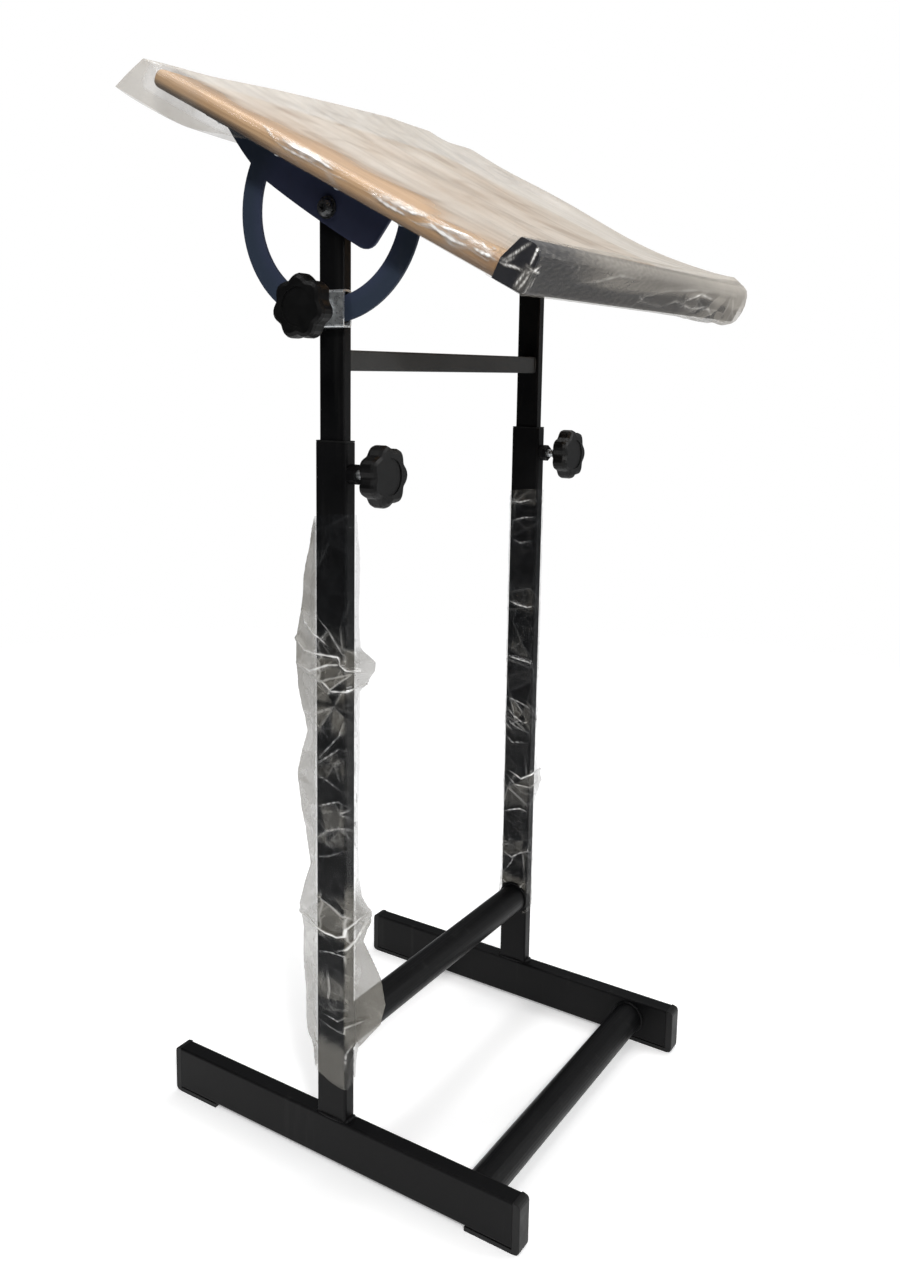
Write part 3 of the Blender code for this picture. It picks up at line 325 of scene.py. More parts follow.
def oiled_beech():
    """Beech with its grain running front to rear, fine flecks and soft figure, and a left edge with painted
    shade and a dark line.
    """
    finish, tree, shader = new_finish("oiled_beech")
    figure = noise(tree, object_place(tree, (26.0, 1.6, 26.0), True), 1.0, 5.0, 0.6, 0.9)
    grain = noise(tree, object_place(tree, (420.0, 9.0, 420.0), True), 1.0, 4.0, 0.6)
    fleck = noise(tree, object_place(tree, (900.0, 120.0, 900.0), True), 1.0, 2.0)
    wood = ramp(tree, figure, (
        (0.28, (0.46, 0.275, 0.135)), (0.5, (0.585, 0.375, 0.20)), (0.74, (0.66, 0.45, 0.26)),
    ))
    lines = ramp(tree, grain, ((0.42, 0.45), (0.62, 0.0)))
    streaked = blend_colours(tree, lines, wood, (0.40, 0.225, 0.105))
    flecks = ramp(tree, fleck, ((0.64, 0.0), (0.74, 0.4)))
    flecked = blend_colours(tree, flecks, streaked, (0.36, 0.19, 0.09))
    # X grows towards the left edge, Y towards the ledge, four times as fast, and Z towards the board's top
    parts = tree.nodes.new("ShaderNodeSeparateXYZ")
    tree.links.new(object_place(tree, (-1.0, -4.0, 1.0), True), parts.inputs["Vector"])
    to_left, to_ledge, to_top = (parts.outputs[axis] for axis in "XYZ")
    outer = ramp(tree, to_left, ((0.250, 0.0), (0.256, 1.0)))
    ahead = ramp(tree, to_ledge, ((0.52, 0.0), (0.84, 0.6)))
    low = ramp(tree, to_top, ((0.0272, 0.8), (0.0350, 0.0)))
    behind = ramp(tree, calculate(tree, "MULTIPLY", to_ledge, -1.0), ((0.10, 0.0), (0.36, 1.0)))
    rear_foot_line = ramp(tree, to_top, ((0.0305, 0.95), (0.0325, 0.0)))
    # painted shade: the left edge is darker towards the ledge and along its foot; along the foot at the rear
    # it also has a dark line
    edge_shade_and_line = flecked
    for first, second, colour in (
        (outer, ahead, (0.20, 0.105, 0.05)), (outer, low, (0.12, 0.07, 0.042)),
        (behind, rear_foot_line, (0.035, 0.022, 0.018)),
    ):
        edge_shade_and_line = blend_colours(tree, calculate(tree, "MULTIPLY", first, second), edge_shade_and_line, colour)
    tree.links.new(edge_shade_and_line, shader.inputs["Base Color"])
    ramp_into(tree, grain, shader.inputs["Roughness"], ((0.3, 0.50), (0.7, 0.36)))
    raise_bump(tree, shader, ((grain, 0.0003, 0.25), (fleck, 0.0002, 0.2)))
    return finish


def dark_lacquer():
    """Blue-black lacquer on the ledge, with the wood's grain just showing."""
    finish, tree, shader = new_finish("dark_lacquer")
    grain = noise(tree, object_place(tree, (8.0, 380.0, 380.0), True), 1.0, 4.0, 0.6)
    patch = noise(tree, object_place(tree), 30.0, 4.0)
    tones = ((0.35, (0.006, 0.007, 0.011)), (0.7, (0.013, 0.014, 0.022)))
    ramp_into(tree, grain, shader.inputs["Base Color"], tones)
    ramp_into(tree, patch, shader.inputs["Roughness"], ((0.3, 0.32), (0.75, 0.50)))
    raise_bump(tree, shader, ((grain, 0.0002, 0.3),))
    return finish


def dowel_beech():
    """Plain dowel wood, grain along its length."""
    finish, tree, shader = new_finish("dowel_beech")
    grain = noise(tree, object_place(tree, (500.0, 12.0, 500.0), True), 1.0, 4.0)
    tones = ((0.35, (0.50, 0.33, 0.18)), (0.7, (0.66, 0.48, 0.29)))
    ramp_into(tree, grain, shader.inputs["Base Color"], tones)
    ramp_into(tree, grain, shader.inputs["Roughness"], ((0.3, 0.75), (0.7, 0.6)))
    raise_bump(tree, shader, ((grain, 0.0002, 0.3),))
    return finish


def value_of(tree, name):
    """A value kept on the film's own points."""
    kept = tree.nodes.new("ShaderNodeAttribute")
    kept.attribute_name = name
    return kept.outputs["Fac"]


def clear_film(name, veil, tint, bright):
    """Thin clear film: a dark veil where it clings, milky where it is loose, its haze partly painted
    reflection, with painted glints in white on its creases.
    """
    finish, tree, shader = new_finish(name)
    cloud = noise(tree, object_place(tree), 26.0, 4.0, 0.6)
    milk_and_reflection, painted_glint = value_of(tree, "milk_and_reflection"), value_of(tree, "painted_glint")
    grazing = tree.nodes.new("ShaderNodeLayerWeight")
    grazing.inputs["Blend"].default_value = 0.3
    rim = calculate(tree, "MULTIPLY", grazing.outputs["Fresnel"], 0.12)
    haze = calculate(tree, "MULTIPLY", milk_and_reflection, ramp(tree, cloud, ((0.3, 0.86), (0.7, 1.0))))
    haze = calculate(tree, "ADD", haze, rim)
    # the haze and the painted glints on the creases make the film less clear
    tree.links.new(calculate(tree, "ADD", haze, painted_glint, True), shader.inputs["Alpha"])
    # its colour runs from the dark veil to the milky tint, which is partly painted reflection
    milky = ramp(tree, milk_and_reflection, ((0.04, veil), (0.30, tint)))
    # painted glints: towards white on the creases
    tree.links.new(blend_colours(tree, painted_glint, milky, bright), shader.inputs["Base Color"])
    ramp_into(tree, milk_and_reflection, shader.inputs["Roughness"], ((0.05, 0.10), (0.5, 0.40)))
    shader.inputs["Specular IOR Level"].default_value = 0.9
    raise_bump(tree, shader, ((cloud, 0.0004, 0.15),))
    return finish


# Films

def ease(low, high, value):
    """Smoothly from 0 at low to 1 at high."""
    share = np.clip((value - low) / (high - low), 0.0, 1.0)
    return share * share * (3.0 - 2.0 * share)


def ripples(u, v, size, seed, count=12, along=1.0):
    """Random smooth waves of about this size; along above 1 draws them out in v."""
    dice = np.random.default_rng(seed)
    turn = dice.uniform(0.0, 2.0 * math.pi, count)
    length = size * dice.uniform(0.7, 1.5, count)
    phase = dice.uniform(0.0, 2.0 * math.pi, count)
    total = np.zeros_like(u)
    for a, l, p in zip(turn, length, phase):
        total = total + np.sin(2.0 * math.pi * (u * math.cos(a) + v * math.sin(a) / along) / l + p)
    return total * math.sqrt(2.0 / count)


def crushed(across, down, size, seed, long=1.0, thick=1.4):
    """Flat facets between random points, as crushed film has, on a grid of these columns and rows.

    Gives three grids of values from 0 to 1: the height, how milky each facet is, and how bright
    the painted glint on the nearest fold is. Long above 1 draws the facets out down the grid; thick is the
    folds' width.
    """
    dice = np.random.default_rng(seed)
    down = down / long
    spots = []
    for v in np.arange(down[0] - size, down[-1] + 2.0 * size, size):
        for u in np.arange(across[0] - size, across[-1] + 2.0 * size, size):
            spots.append((u + dice.uniform(-0.45, 0.45) * size, v + dice.uniform(-0.45, 0.45) * size))
    flat, _, corners, _, _, _ = delaunay_2d_cdt([Vector(spot) for spot in spots], [], [], 0, 1e-4)
    flat = np.array([tuple(spot) for spot in flat])
    high = dice.uniform(0.0, 1.0, len(flat))
    level, shade, fold_shine = (np.full((len(down), len(across)), start) for start in (0.5, 0.0, 0.0))
    glint = {}
    for corner in corners:
        a, b, c = flat[list(corner)]
        low, top = np.searchsorted(down, (min(a[1], b[1], c[1]), max(a[1], b[1], c[1])))
        west, east = np.searchsorted(across, (min(a[0], b[0], c[0]), max(a[0], b[0], c[0])))
        tone = dice.uniform(0.0, 1.0)
        if low >= top or west >= east:
            continue
        u, v = np.meshgrid(across[west:east], down[low:top])
        whole = (b[0] - a[0]) * (c[1] - a[1]) - (b[1] - a[1]) * (c[0] - a[0])
        second = ((u - a[0]) * (c[1] - a[1]) - (v - a[1]) * (c[0] - a[0])) / whole
        third = ((b[0] - a[0]) * (v - a[1]) - (b[1] - a[1]) * (u - a[0])) / whole
        first = 1.0 - second - third
        inside = (first >= -TINY) & (second >= -TINY) & (third >= -TINY)
        part = (slice(low, top), slice(west, east))
        tall = first * high[corner[0]] + second * high[corner[1]] + third * high[corner[2]]
        level[part] = np.where(inside, tall, level[part])
        shade[part] = np.where(inside, tone, shade[part])
        for weight, start, end in ((first, 1, 2), (second, 2, 0), (third, 0, 1)):
            edge = tuple(sorted((corner[start], corner[end])))
            glint.setdefault(edge, dice.uniform(0.0, 1.0) ** 2.5)
            apart = weight * abs(whole) / np.linalg.norm(flat[corner[end]] - flat[corner[start]])
            line = glint[edge] * np.exp(-(apart / thick) ** 2)
            fold_shine[part] = np.where(inside, np.maximum(fold_shine[part], line), fold_shine[part])
    return level, shade, fold_shine


def line_distance(points, line):
    """Distance of each point from a line of straight runs, and its share of the way along, from 0 to 1."""
    line = np.array(line, float)
    lengths = np.linalg.norm(np.diff(line, axis=0), axis=1)
    before = np.concatenate([[0.0], np.cumsum(lengths)])
    best, along = np.full(len(points), np.inf), np.zeros(len(points))
    for start, end, length, gone in zip(line[:-1], line[1:], lengths, before):
        run = end - start
        share = np.clip((points - start) @ run / max(run @ run, 1e-9), 0.0, 1.0)
        apart = np.linalg.norm(points - start - share[:, None] * run, axis=1)
        along = np.where(apart < best, (gone + share * length) / before[-1], along)
        best = np.minimum(best, apart)
    return best, along


def fold_glint(apart, along, thick, bright):
    """Brightness of a fold's painted glint: uneven, strongest and thickest in its middle, and thin at both
    ends.
    """
    body = np.sin(math.pi * np.clip(along, 0.04, 0.96)) ** 0.6 * (0.82 + 0.18 * np.sin(31.0 * along))
    return np.clip(bright * body * np.exp(-(apart / (thick * (0.55 + 0.45 * body))) ** 2), 0.0, 1.0)


def lay_fold(points, outward, painted_glint, apart, along, rise, thick, bright):
    """Raises a fold on a film and adds its painted glint line to the other painted glints."""
    points += outward * (rise * np.clip(1.0 - apart / FOLD_FOOT, 0.0, 1.0))[:, None]
    np.maximum(painted_glint, fold_glint(apart, along, thick, FOLD_GAIN * bright), out=painted_glint)


def path_points(corners, shares):
    """Points at these shares of the length of a line through the corners."""
    corners = np.array(corners, float)
    steps = np.linalg.norm(np.diff(corners, axis=0), axis=1)
    run = np.concatenate([[0.0], np.cumsum(steps)]) / steps.sum()
    return np.stack([np.interp(shares, run, corners[:, axis]) for axis in range(corners.shape[1])], axis=-1)


def rounded(centre_a, centre_b, radius, start, end, count=6):
    """Points of an arc in a plane, angles in degrees."""
    angles = np.radians(np.linspace(start, end, count))
    return [(centre_a + radius * math.cos(t), centre_b + radius * math.sin(t)) for t in angles]


def film_normals(points, faces):
    """The outward direction at each point of a film."""
    a, b, c, d = (points[faces[:, corner]] for corner in range(4))
    square = np.cross(c - a, d - b)
    total = np.zeros_like(points)
    for corner in range(4):
        np.add.at(total, faces[:, corner], square)
    return total / np.maximum(np.linalg.norm(total, axis=1), 1e-9)[:, None]


def film_object(name, points, faces, painted_glint, milk_and_reflection, finish):
    """A smooth film of these faces and the points in metres that they use, with values for its finish."""
    used, corners = np.unique(faces, return_inverse=True)
    mesh = bpy.data.meshes.new(name)
    mesh.from_pydata(points[used].tolist(), [], corners.reshape(faces.shape).tolist())
    mesh.materials.append(finish)
    mesh.polygons.foreach_set("use_smooth", np.ones(len(mesh.polygons), bool))
    for value, held in (("painted_glint", painted_glint), ("milk_and_reflection", milk_and_reflection)):
        kept = mesh.attributes.new(value, "FLOAT", "POINT")
        kept.data.foreach_set("value", held[used].astype(np.float32))
    film = bpy.data.objects.new(name, mesh)
    bpy.context.scene.collection.objects.link(film)
    return film


# Film over the board

# Steps of the film's net over the wood, finer at the left edge and on the ledge, and its skirts' widths
FILM_XS = np.concatenate([np.arange(-255.0, -225.5, 0.95), np.linspace(-225.0, HALF_WIDTH - 5.0, 168)])
FILM_SS = np.concatenate([
    np.arange(LEDGE_FRONT + LEDGE_ROUND, -205.0, 0.7), np.linspace(-204.0, BOARD_REAR - 5.0, 146),
])
SKIRT_STEPS = 56
SIDE_SKIRT = 46.0
END_SKIRT = 52.0

# The film's four sealed corners: the row and column of the top's corner, how far along x and s the top is
# drawn to it, how far the side skirt and the end skirt are, and its line of points (x, s, h) downwards
SEALED_CORNERS = (
    (0, 0, (8.0, 10.0), (16.0, 10.0), (
        (-260.6, -240.0, 67.6), (-260.8, -249.0, 60.0), (-261.0, -250.4, 30.0), (-259.0, -249.5, 25.6),
        (-246.0, -240.0, 25.8),
    )),
    (0, -1, (20.0, 12.0), (18.0, 18.0), (
        (261.0, -241.0, 69.5), (262.6, -247.0, 66.0), (263.2, -250.6, 60.0), (263.4, -252.0, 50.0),
        (263.2, -252.2, 38.0), (262.0, -251.6, 31.0), (259.5, -249.6, 26.6), (255.0, -246.0, 24.6),
        (246.0, -238.0, 24.4),
    )),
    (-1, 0, (68.0, 62.0), (60.0, 58.0), (
        (-262.0, 233.0, 45.5), (-266.0, 243.0, 27.0), (-269.0, 251.5, 10.0),
    )),
    (-1, -1, (58.0, 42.0), (40.0, 40.0), (
        (263.0, 226.0, 62.0), (267.0, 231.0, 40.0), (262.0, 228.0, 18.0), (256.0, 224.0, 4.0),
    )),
)

# Folds of the film: points (x, s, h), how high each stands and how bright its painted glint is.
# The fine ones are gathered where the film is pulled round the ledge's left end.
CORNER_FOLDS = (
    (((-261, -221, 43), (-261, -229, 53), (-261, -235, 62), (-259, -240, 67)), 0.6, 0.60),
    (((-259, -244, 67), (-261, -246, 62), (-261, -246, 56), (-261, -246, 50)), 0.8, 0.90),
    (((-260, -250, 63), (-256, -251, 57), (-252, -251, 49)), 0.6, 0.30),
    (((-261, -220, 41), (-261, -224, 41), (-261, -232, 43), (-261, -241, 44)), 0.7, 0.80),
    (((-261, -243, 49), (-260, -250, 48), (-248, -251, 46)), 0.6, 0.75),
    (((-253, -251, 52), (-260, -250, 48), (-261, -246, 43)), 0.6, 0.75),
    (((-261, -245, 46), (-261, -242, 35), (-261, -240, 27)), 0.6, 0.55),
    (((-261, -249, 45), (-261, -247, 35), (-261, -244, 27)), 0.6, 0.50),
    (((-257, -251, 46), (-258, -251, 36), (-260, -250, 28)), 0.6, 0.40),
    (((-253, -251, 46), (-254, -251, 36), (-256, -251, 29)), 0.7, 0.65),
    (((-261, -218, 44), (-261, -225, 44), (-261, -231, 51)), 0.6, 0.40),
)
BOARD_FOLDS = (
    (((-254, -246, 66), (-235, -250, 61), (-215, -251, 60), (-191, -251, 56)), 1.0, 0.12),
    (((-191, -251, 62), (-186, -251, 56), (-187, -251, 50)), 1.0, 0.2),
    (((-174, -251, 45), (-137, -251, 49), (-102, -251, 57), (-56, -251, 57)), 1.2, 0.2),
    (((-45, -251, 31), (-26, -251, 42), (23, -252, 51), (105, -252, 58), (221, -253, 58)), 2.0, 0.30),
    (((-33, -251, 37), (23, -252, 34), (54, -252, 42), (104, -252, 37), (150, -252, 44)), 2.0, 0.38),
    (((69, -252, 30), (77, -252, 44), (112, -252, 54), (156, -252, 50)), 2.0, 0.38),
    (((96, -252, 29), (112, -252, 38), (150, -252, 40), (180, -252, 30)), 2.0, 0.35),
    (((-261, 42, 38), (-261, 31, 37), (-261, 11, 37), (-261, -11, 39)), 0.6, 0.5),
    (((-260, 36, 42), (-260, 24, 41), (-260, 10, 42), (-260, -6, 42), (-260, -31, 40)), 1.0, 0.95),
    (((-260, 28, 41), (-260, 14, 40), (-260, -2, 41), (-260, -16, 41)), 0.8, 0.9),
    (((-257, 69, 45), (-259, 57, 43), (-261, 42, 38)), 0.8, 0.35),
    (((-261, -78, 38), (-261, -88, 38), (-261, -97, 37), (-261, -120, 37)), 0.8, 0.8),
    (((-261, -87, 39), (-260, -100, 40), (-260, -123, 41), (-259, -134, 43), (-252, -139, 46)), 1.0, 0.9),
    (((-261, -135, 37), (-261, -146, 40), (-261, -155, 39), (-261, -174, 38), (-261, -188, 40)), 0.8, 0.85),
    (((-260, -145, 42), (-259, -159, 43), (-257, -172, 45), (-252, -183, 46), (-243, -195, 46)), 1.0, 0.75),
    (((-260, -188, 41), (-260, -198, 40), (-260, -211, 41), (-260, -217, 41)), 0.8, 0.8),
    (((-248, -190, 46), (-256, -197, 45), (-260, -199, 40)), 0.8, 0.8),
    (((-240, -197, 46), (-247, -202, 46), (-260, -207, 41)), 0.8, 0.75),
    (((-228, -192, 47), (-238, -206, 48), (-250, -212, 48)), 1.0, 0.5),
    (((-262, 214, 41), (-258, 220, 45), (-250, 222, 47)), 0.8, 0.9),
    (((-262, 208, 38), (-258, 214, 43), (-252, 217, 46)), 0.8, 0.6),
    (((-260, 230, 44), (-256, 221, 46), (-252, 214, 46)), 0.8, 0.7),
)

# Broad soft painted sheen along the board's left edge, as lines like the folds
EDGE_SHEEN = (
    (((-260, 42, 42), (-260, 22, 42), (-260, -4, 42), (-259, -30, 43)), 0.0, 0.38),
    (((-260, -76, 40), (-260, -100, 41), (-259, -125, 43), (-254, -139, 45)), 0.0, 0.32),
    (((-259, -148, 42), (-258, -170, 44), (-255, -190, 45), (-258, -210, 43)), 0.0, 0.28),
)

# Each set of lines with the thickness of its painted glint line
FOLD_SETS = ((CORNER_FOLDS, 0.95), (BOARD_FOLDS, 1.35), (EDGE_SHEEN, 5.0))

# Streaks where the film's haze and painted reflection are thinner: points (x, s), half width and how much
# thinner
THIN_STREAKS = (
    (((-215, 108), (-102, 151), (39, 189), (117, 174)), 20.0, 0.40),
    (((-240, 36), (-142, 67), (-70, 60), (-34, 30)), 16.0, 0.32),
    (((-60, 120), (60, 128), (150, 96)), 20.0, 0.34),
    (((90, 176), (164, 131), (188, 103), (213, 76)), 17.0, 0.48),
    (((196, 92), (226, 62), (246, 20), (236, -30)), 19.0, 0.22),
    (((-120, -60), (20, -95), (140, -150)), 18.0, 0.30),
    (((-40, 10), (70, -20), (190, -60)), 22.0, 0.26),
)


def clear_of_board(points):
    """Pushes film points out of the board, a block with rounded edges that reaches under the ledge."""
    low = np.array((-HALF_WIDTH, LEDGE_CREST, BOARD_BOTTOM))
    high = np.array((HALF_WIDTH, BOARD_REAR, BOARD_TOP))
    local = points - (low + high) / 2.0
    beyond = np.maximum(np.abs(local) - ((high - low) / 2.0 - EDGE_ROUND), 0.0)
    away = np.linalg.norm(beyond, axis=1)
    outward = beyond * np.sign(local) / np.maximum(away, TINY)[:, None]
    outward[away <= TINY] = (0.0, 0.0, 1.0)
    points += outward * np.maximum(EDGE_ROUND + SKIN - away, 0.0)[:, None]


def clear_of_ledge(points):
    """Pushes film points out of the ledge, through the side that is nearest."""
    x, s, h = points.T.copy()
    run, rise = BOARD_ROOT - LEDGE_CREST, LEDGE_TOP - BOARD_TOP
    slope = math.hypot(run, rise)
    corner_s = np.minimum(s - LEDGE_FRONT - LEDGE_ROUND, 0.0)
    corner_h = np.maximum(h - LEDGE_TOP + LEDGE_ROUND, 0.0)
    corner = np.hypot(corner_s, corner_h)
    # how far outside each side the points are: front, foot, top, slope, rounded corner, right and left end
    sides = np.stack([
        LEDGE_FRONT - s,
        BOARD_BOTTOM - h,
        h - LEDGE_TOP,
        ((s - LEDGE_CREST) * rise + (h - LEDGE_TOP) * run) / slope,
        corner - LEDGE_ROUND,
        x - HALF_WIDTH,
        -x - HALF_WIDTH,
    ])
    ways = np.zeros((len(sides), len(points), 3))
    for side, way in (
        (0, (0.0, -1.0, 0.0)), (1, (0.0, 0.0, -1.0)), (2, (0.0, 0.0, 1.0)),
        (3, (0.0, rise / slope, run / slope)), (5, (1.0, 0.0, 0.0)), (6, (-1.0, 0.0, 0.0)),
    ):
        ways[side] = way
    ways[4, :, 1] = corner_s / np.maximum(corner, TINY)
    ways[4, :, 2] = corner_h / np.maximum(corner, TINY)
    nearest = ways[np.argmax(sides, axis=0), np.arange(len(points))]
    points += nearest * np.maximum(SKIN - np.max(sides, axis=0), 0.0)[:, None]


def off_the_wood(points):
    """How far each film point is from board and ledge, both taken as plain blocks."""
    gaps = []
    for front, rear, top in ((BOARD_ROOT, BOARD_REAR, BOARD_TOP), (LEDGE_FRONT, LEDGE_CREST, LEDGE_TOP)):
        beyond = np.stack([
            np.abs(points[:, 0]) - HALF_WIDTH,
            np.maximum(front - points[:, 1], points[:, 1] - rear),
            np.maximum(BOARD_BOTTOM - points[:, 2], points[:, 2] - top),
        ], axis=1)
        gaps.append(np.linalg.norm(np.maximum(beyond, 0.0), axis=1))
    return np.minimum(*gaps)


def board_film_top(x, s):
    """Height of the film over the board and the ledge's top."""
    wood = np.interp(
        s, (LEDGE_FRONT, LEDGE_CREST, BOARD_ROOT, BOARD_REAR), (LEDGE_TOP, LEDGE_TOP, BOARD_TOP, BOARD_TOP)
    )
    # it stands off the wood towards the rear and the right edge, by this much at most
    most = 24.0
    rear = np.interp(x, (-262.0, -160.0, 5.0, 114.0, 246.0), (1.5, 8.0, 17.0, 22.0, 19.0))
    right = np.interp(
        s, (-250.0, -225.0, -172.0, -78.0, 0.0, 98.0, 226.0), (4.0, 4.0, 6.0, 9.5, 13.0, 15.0, 19.0)
    )
    to_rear = np.exp(-(BOARD_REAR - s) / 95.0)
    to_right = np.exp(-(HALF_WIDTH - x) / 80.0)
    loose = 1.0 - (1.0 - to_rear * rear / most) * (1.0 - to_right * right / most)
    lift = most * loose + 0.5 * ease(-255.0, -225.0, x) + 1.8 * ease(-190.0, -80.0, x)
    # soft swells away from the left edge, the ledge and the rear
    swell = ease(-225.0, -110.0, x) * ease(-215.0, -150.0, s) * ease(BOARD_REAR, BOARD_REAR - 110.0, s)
    broad = ripples(x, s, 85.0, seed=3, count=10, along=2.6)
    fine = ripples(x, s, 40.0, seed=4, count=10, along=3.0)
    lift = lift + swell * (1.2 + 0.9 * broad + 0.4 * fine)
    # from the ledge's crest it sags to the board, over a longer way towards the right
    tent = np.interp(x, (-260.0, -225.0, -120.0, 40.0, 260.0), (12.0, 26.0, 70.0, 120.0, 165.0))
    drop = np.clip((s - LEDGE_CREST) / tent, 0.0, 1.0)
    lip = BOARD_TOP + (LEDGE_TOP - BOARD_TOP) * (1.0 - drop) ** 2.2
    return np.maximum(wood, np.where(s > LEDGE_CREST, lip, wood)) + SKIN + np.maximum(lift, 0.0)


def end_skirts(top, share):
    """The skirts in front of the ledge, slacker towards the right, and behind the board."""
    front, rear = (np.zeros((len(FILM_XS), SKIRT_STEPS, 3)) for _ in range(2))
    face = LEDGE_FRONT - SKIN
    for column, wide in enumerate(FILM_XS):
        slack = float(np.interp(wide, (-260.0, -60.0, 120.0, 215.0, 260.0), (0.0, 0.3, 1.2, 2.6, 2.0)))
        low = BOARD_BOTTOM - SKIN - slack
        bend = LEDGE_ROUND + SKIN + 0.3 * slack
        line = [
            tuple(top[0, column, 1:]),
            *rounded(LEDGE_FRONT + LEDGE_ROUND, LEDGE_TOP - LEDGE_ROUND, bend, 100.0, 180.0),
            (face - 0.4 * slack, 44.0), (face - 0.2 * slack, low + 2.5),
            (LEDGE_FRONT + 2.0, low), (LEDGE_FRONT + 15.0, low + 0.2 * slack),
        ]
        front[column, :, 1:] = path_points(line, share)
        swing = 4.0 + 2.0 * math.sin(wide / 78.0) + 0.8 * math.sin(wide / 37.0 + 1.0)
        start = tuple(top[-1, column, 1:])
        line = [
            start, (BOARD_REAR + 2.0 + swing, start[1] - 6.0), (BOARD_REAR + 3.0 + 1.4 * swing, 30.0),
            (BOARD_REAR + 1.0 + 1.1 * swing, 12.0),
            (BOARD_REAR - 2.0 + 0.6 * swing, -4.0 + 3.0 * math.sin(wide / 61.0)),
        ]
        rear[column, :, 1:] = path_points(line, share)
    for skirt in (front, rear):
        skirt[:, :, 0] = FILM_XS[:, None]
    return front, rear


def side_skirts(top, share):
    """The skirt at the left, tight round the wood but free at its rear, and the slack one at the right."""
    left, right = (np.zeros((len(FILM_SS), SKIRT_STEPS, 3)) for _ in range(2))
    under = BOARD_BOTTOM - SKIN
    turn_in = -HALF_WIDTH + EDGE_ROUND
    bend = EDGE_ROUND + SKIN
    for row, run in enumerate(FILM_SS):
        start = (top[row, 0, 0], top[row, 0, 2])
        board_line = [
            start, *rounded(turn_in, BOARD_TOP - EDGE_ROUND, bend, 110.0, 180.0),
            *rounded(turn_in, BOARD_BOTTOM + EDGE_ROUND, bend, 180.0, 270.0), (-242.0, under),
        ]
        ledge_line = [
            start, (-HALF_WIDTH - SKIN, LEDGE_TOP - 1.0), (-HALF_WIDTH - SKIN, BOARD_BOTTOM + 1.0),
            (-HALF_WIDTH + 1.0, under), (-246.0, under),
        ]
        hung_line = [
            start, (-HALF_WIDTH - 1.5, BOARD_TOP - 5.0), (-HALF_WIDTH - 3.0, 24.0), (-HALF_WIDTH - 4.5, 8.5),
        ]
        flat = path_points(board_line, share)
        flat += (path_points(ledge_line, share) - flat) * ease(-208.0, -222.0, run)
        flat += (path_points(hung_line, share) - flat) * ease(70.0, 165.0, run)
        left[row, :, ::2] = flat
        start = (top[row, -1, 0], top[row, -1, 2])
        right_line = [
            start, (HALF_WIDTH + 3.5, start[1] - 5.0), (HALF_WIDTH + 5.0, 40.0), (HALF_WIDTH + 2.5, 25.0),
            (HALF_WIDTH - 4.0, 21.5), (244.0, 23.5),
        ]
        right[row, :, ::2] = path_points(right_line, share)
    for skirt in (left, right):
        skirt[:, :, 1] = FILM_SS[:, None]
    return left, right


def board_film_net():
    """The film's net as a grid of points (x, s, h): the top and four skirts, empty beyond the corners."""
    x, s = np.meshgrid(FILM_XS, FILM_SS)
    top = np.stack([x, s, board_film_top(x, s)], axis=-1)
    for row, column, (reach_x, reach_s), _, line in SEALED_CORNERS:
        pull = ease(reach_x, 0.0, np.abs(x - FILM_XS[column])) * ease(reach_s, 0.0, np.abs(s - FILM_SS[row]))
        top += pull[..., None] * (np.array(line[0]) - top[row, column])
    share = np.linspace(0.0, 1.0, SKIRT_STEPS + 1)[1:]
    ends, sides = end_skirts(top, share), side_skirts(top, share)
    # each skirt is drawn onto the sealed lines at its ends, less and less with the distance from them
    for row, column, _, (side_reach, end_reach), line in SEALED_CORNERS:
        seal = path_points(line, share)
        for strip, steps, corner, reach in (
            (sides[column], FILM_SS, row, side_reach), (ends[row], FILM_XS, column, end_reach),
        ):
            drawn = ease(reach, 0.0, np.abs(steps - steps[corner]))
            strip += drawn[:, None, None] * (seal - strip)
    deep = SKIRT_STEPS
    inside = slice(deep, -deep)
    net = np.full((len(FILM_SS) + 2 * deep, len(FILM_XS) + 2 * deep, 3), np.nan)
    net[inside, inside] = top
    net[:deep, inside] = ends[0].transpose(1, 0, 2)[::-1]
    net[-deep:, inside] = ends[1].transpose(1, 0, 2)
    net[inside, :deep] = sides[0][:, ::-1]
    net[inside, -deep:] = sides[1]
    return net


def net_faces(live):
    """Square faces between the live points of the net; two skirts share the points of a sealed corner."""
    deep = SKIRT_STEPS
    index = np.full(live.shape, -1)
    index[live] = np.arange(live.sum())
    last_row, last_column = live.shape[0] - deep - 1, live.shape[1] - deep - 1
    for step in range(1, deep + 1):
        for row, end_row in ((deep, deep - step), (last_row, last_row + step)):
            index[end_row, deep] = index[row, deep - step]
            index[end_row, last_column] = index[row, last_column + step]
    squares = np.stack([index[:-1, :-1], index[:-1, 1:], index[1:, 1:], index[1:, :-1]], axis=-1)
    squares = squares.reshape(-1, 4)
    return squares[(squares >= 0).all(axis=1)]


def with_skirts(steps, skirt):
    """Steps of the net with those of the skirts at both ends."""
    beyond = skirt * (np.arange(1, SKIRT_STEPS + 1) / SKIRT_STEPS)
    return np.concatenate([steps[0] - beyond[::-1], steps, steps[-1] + beyond])


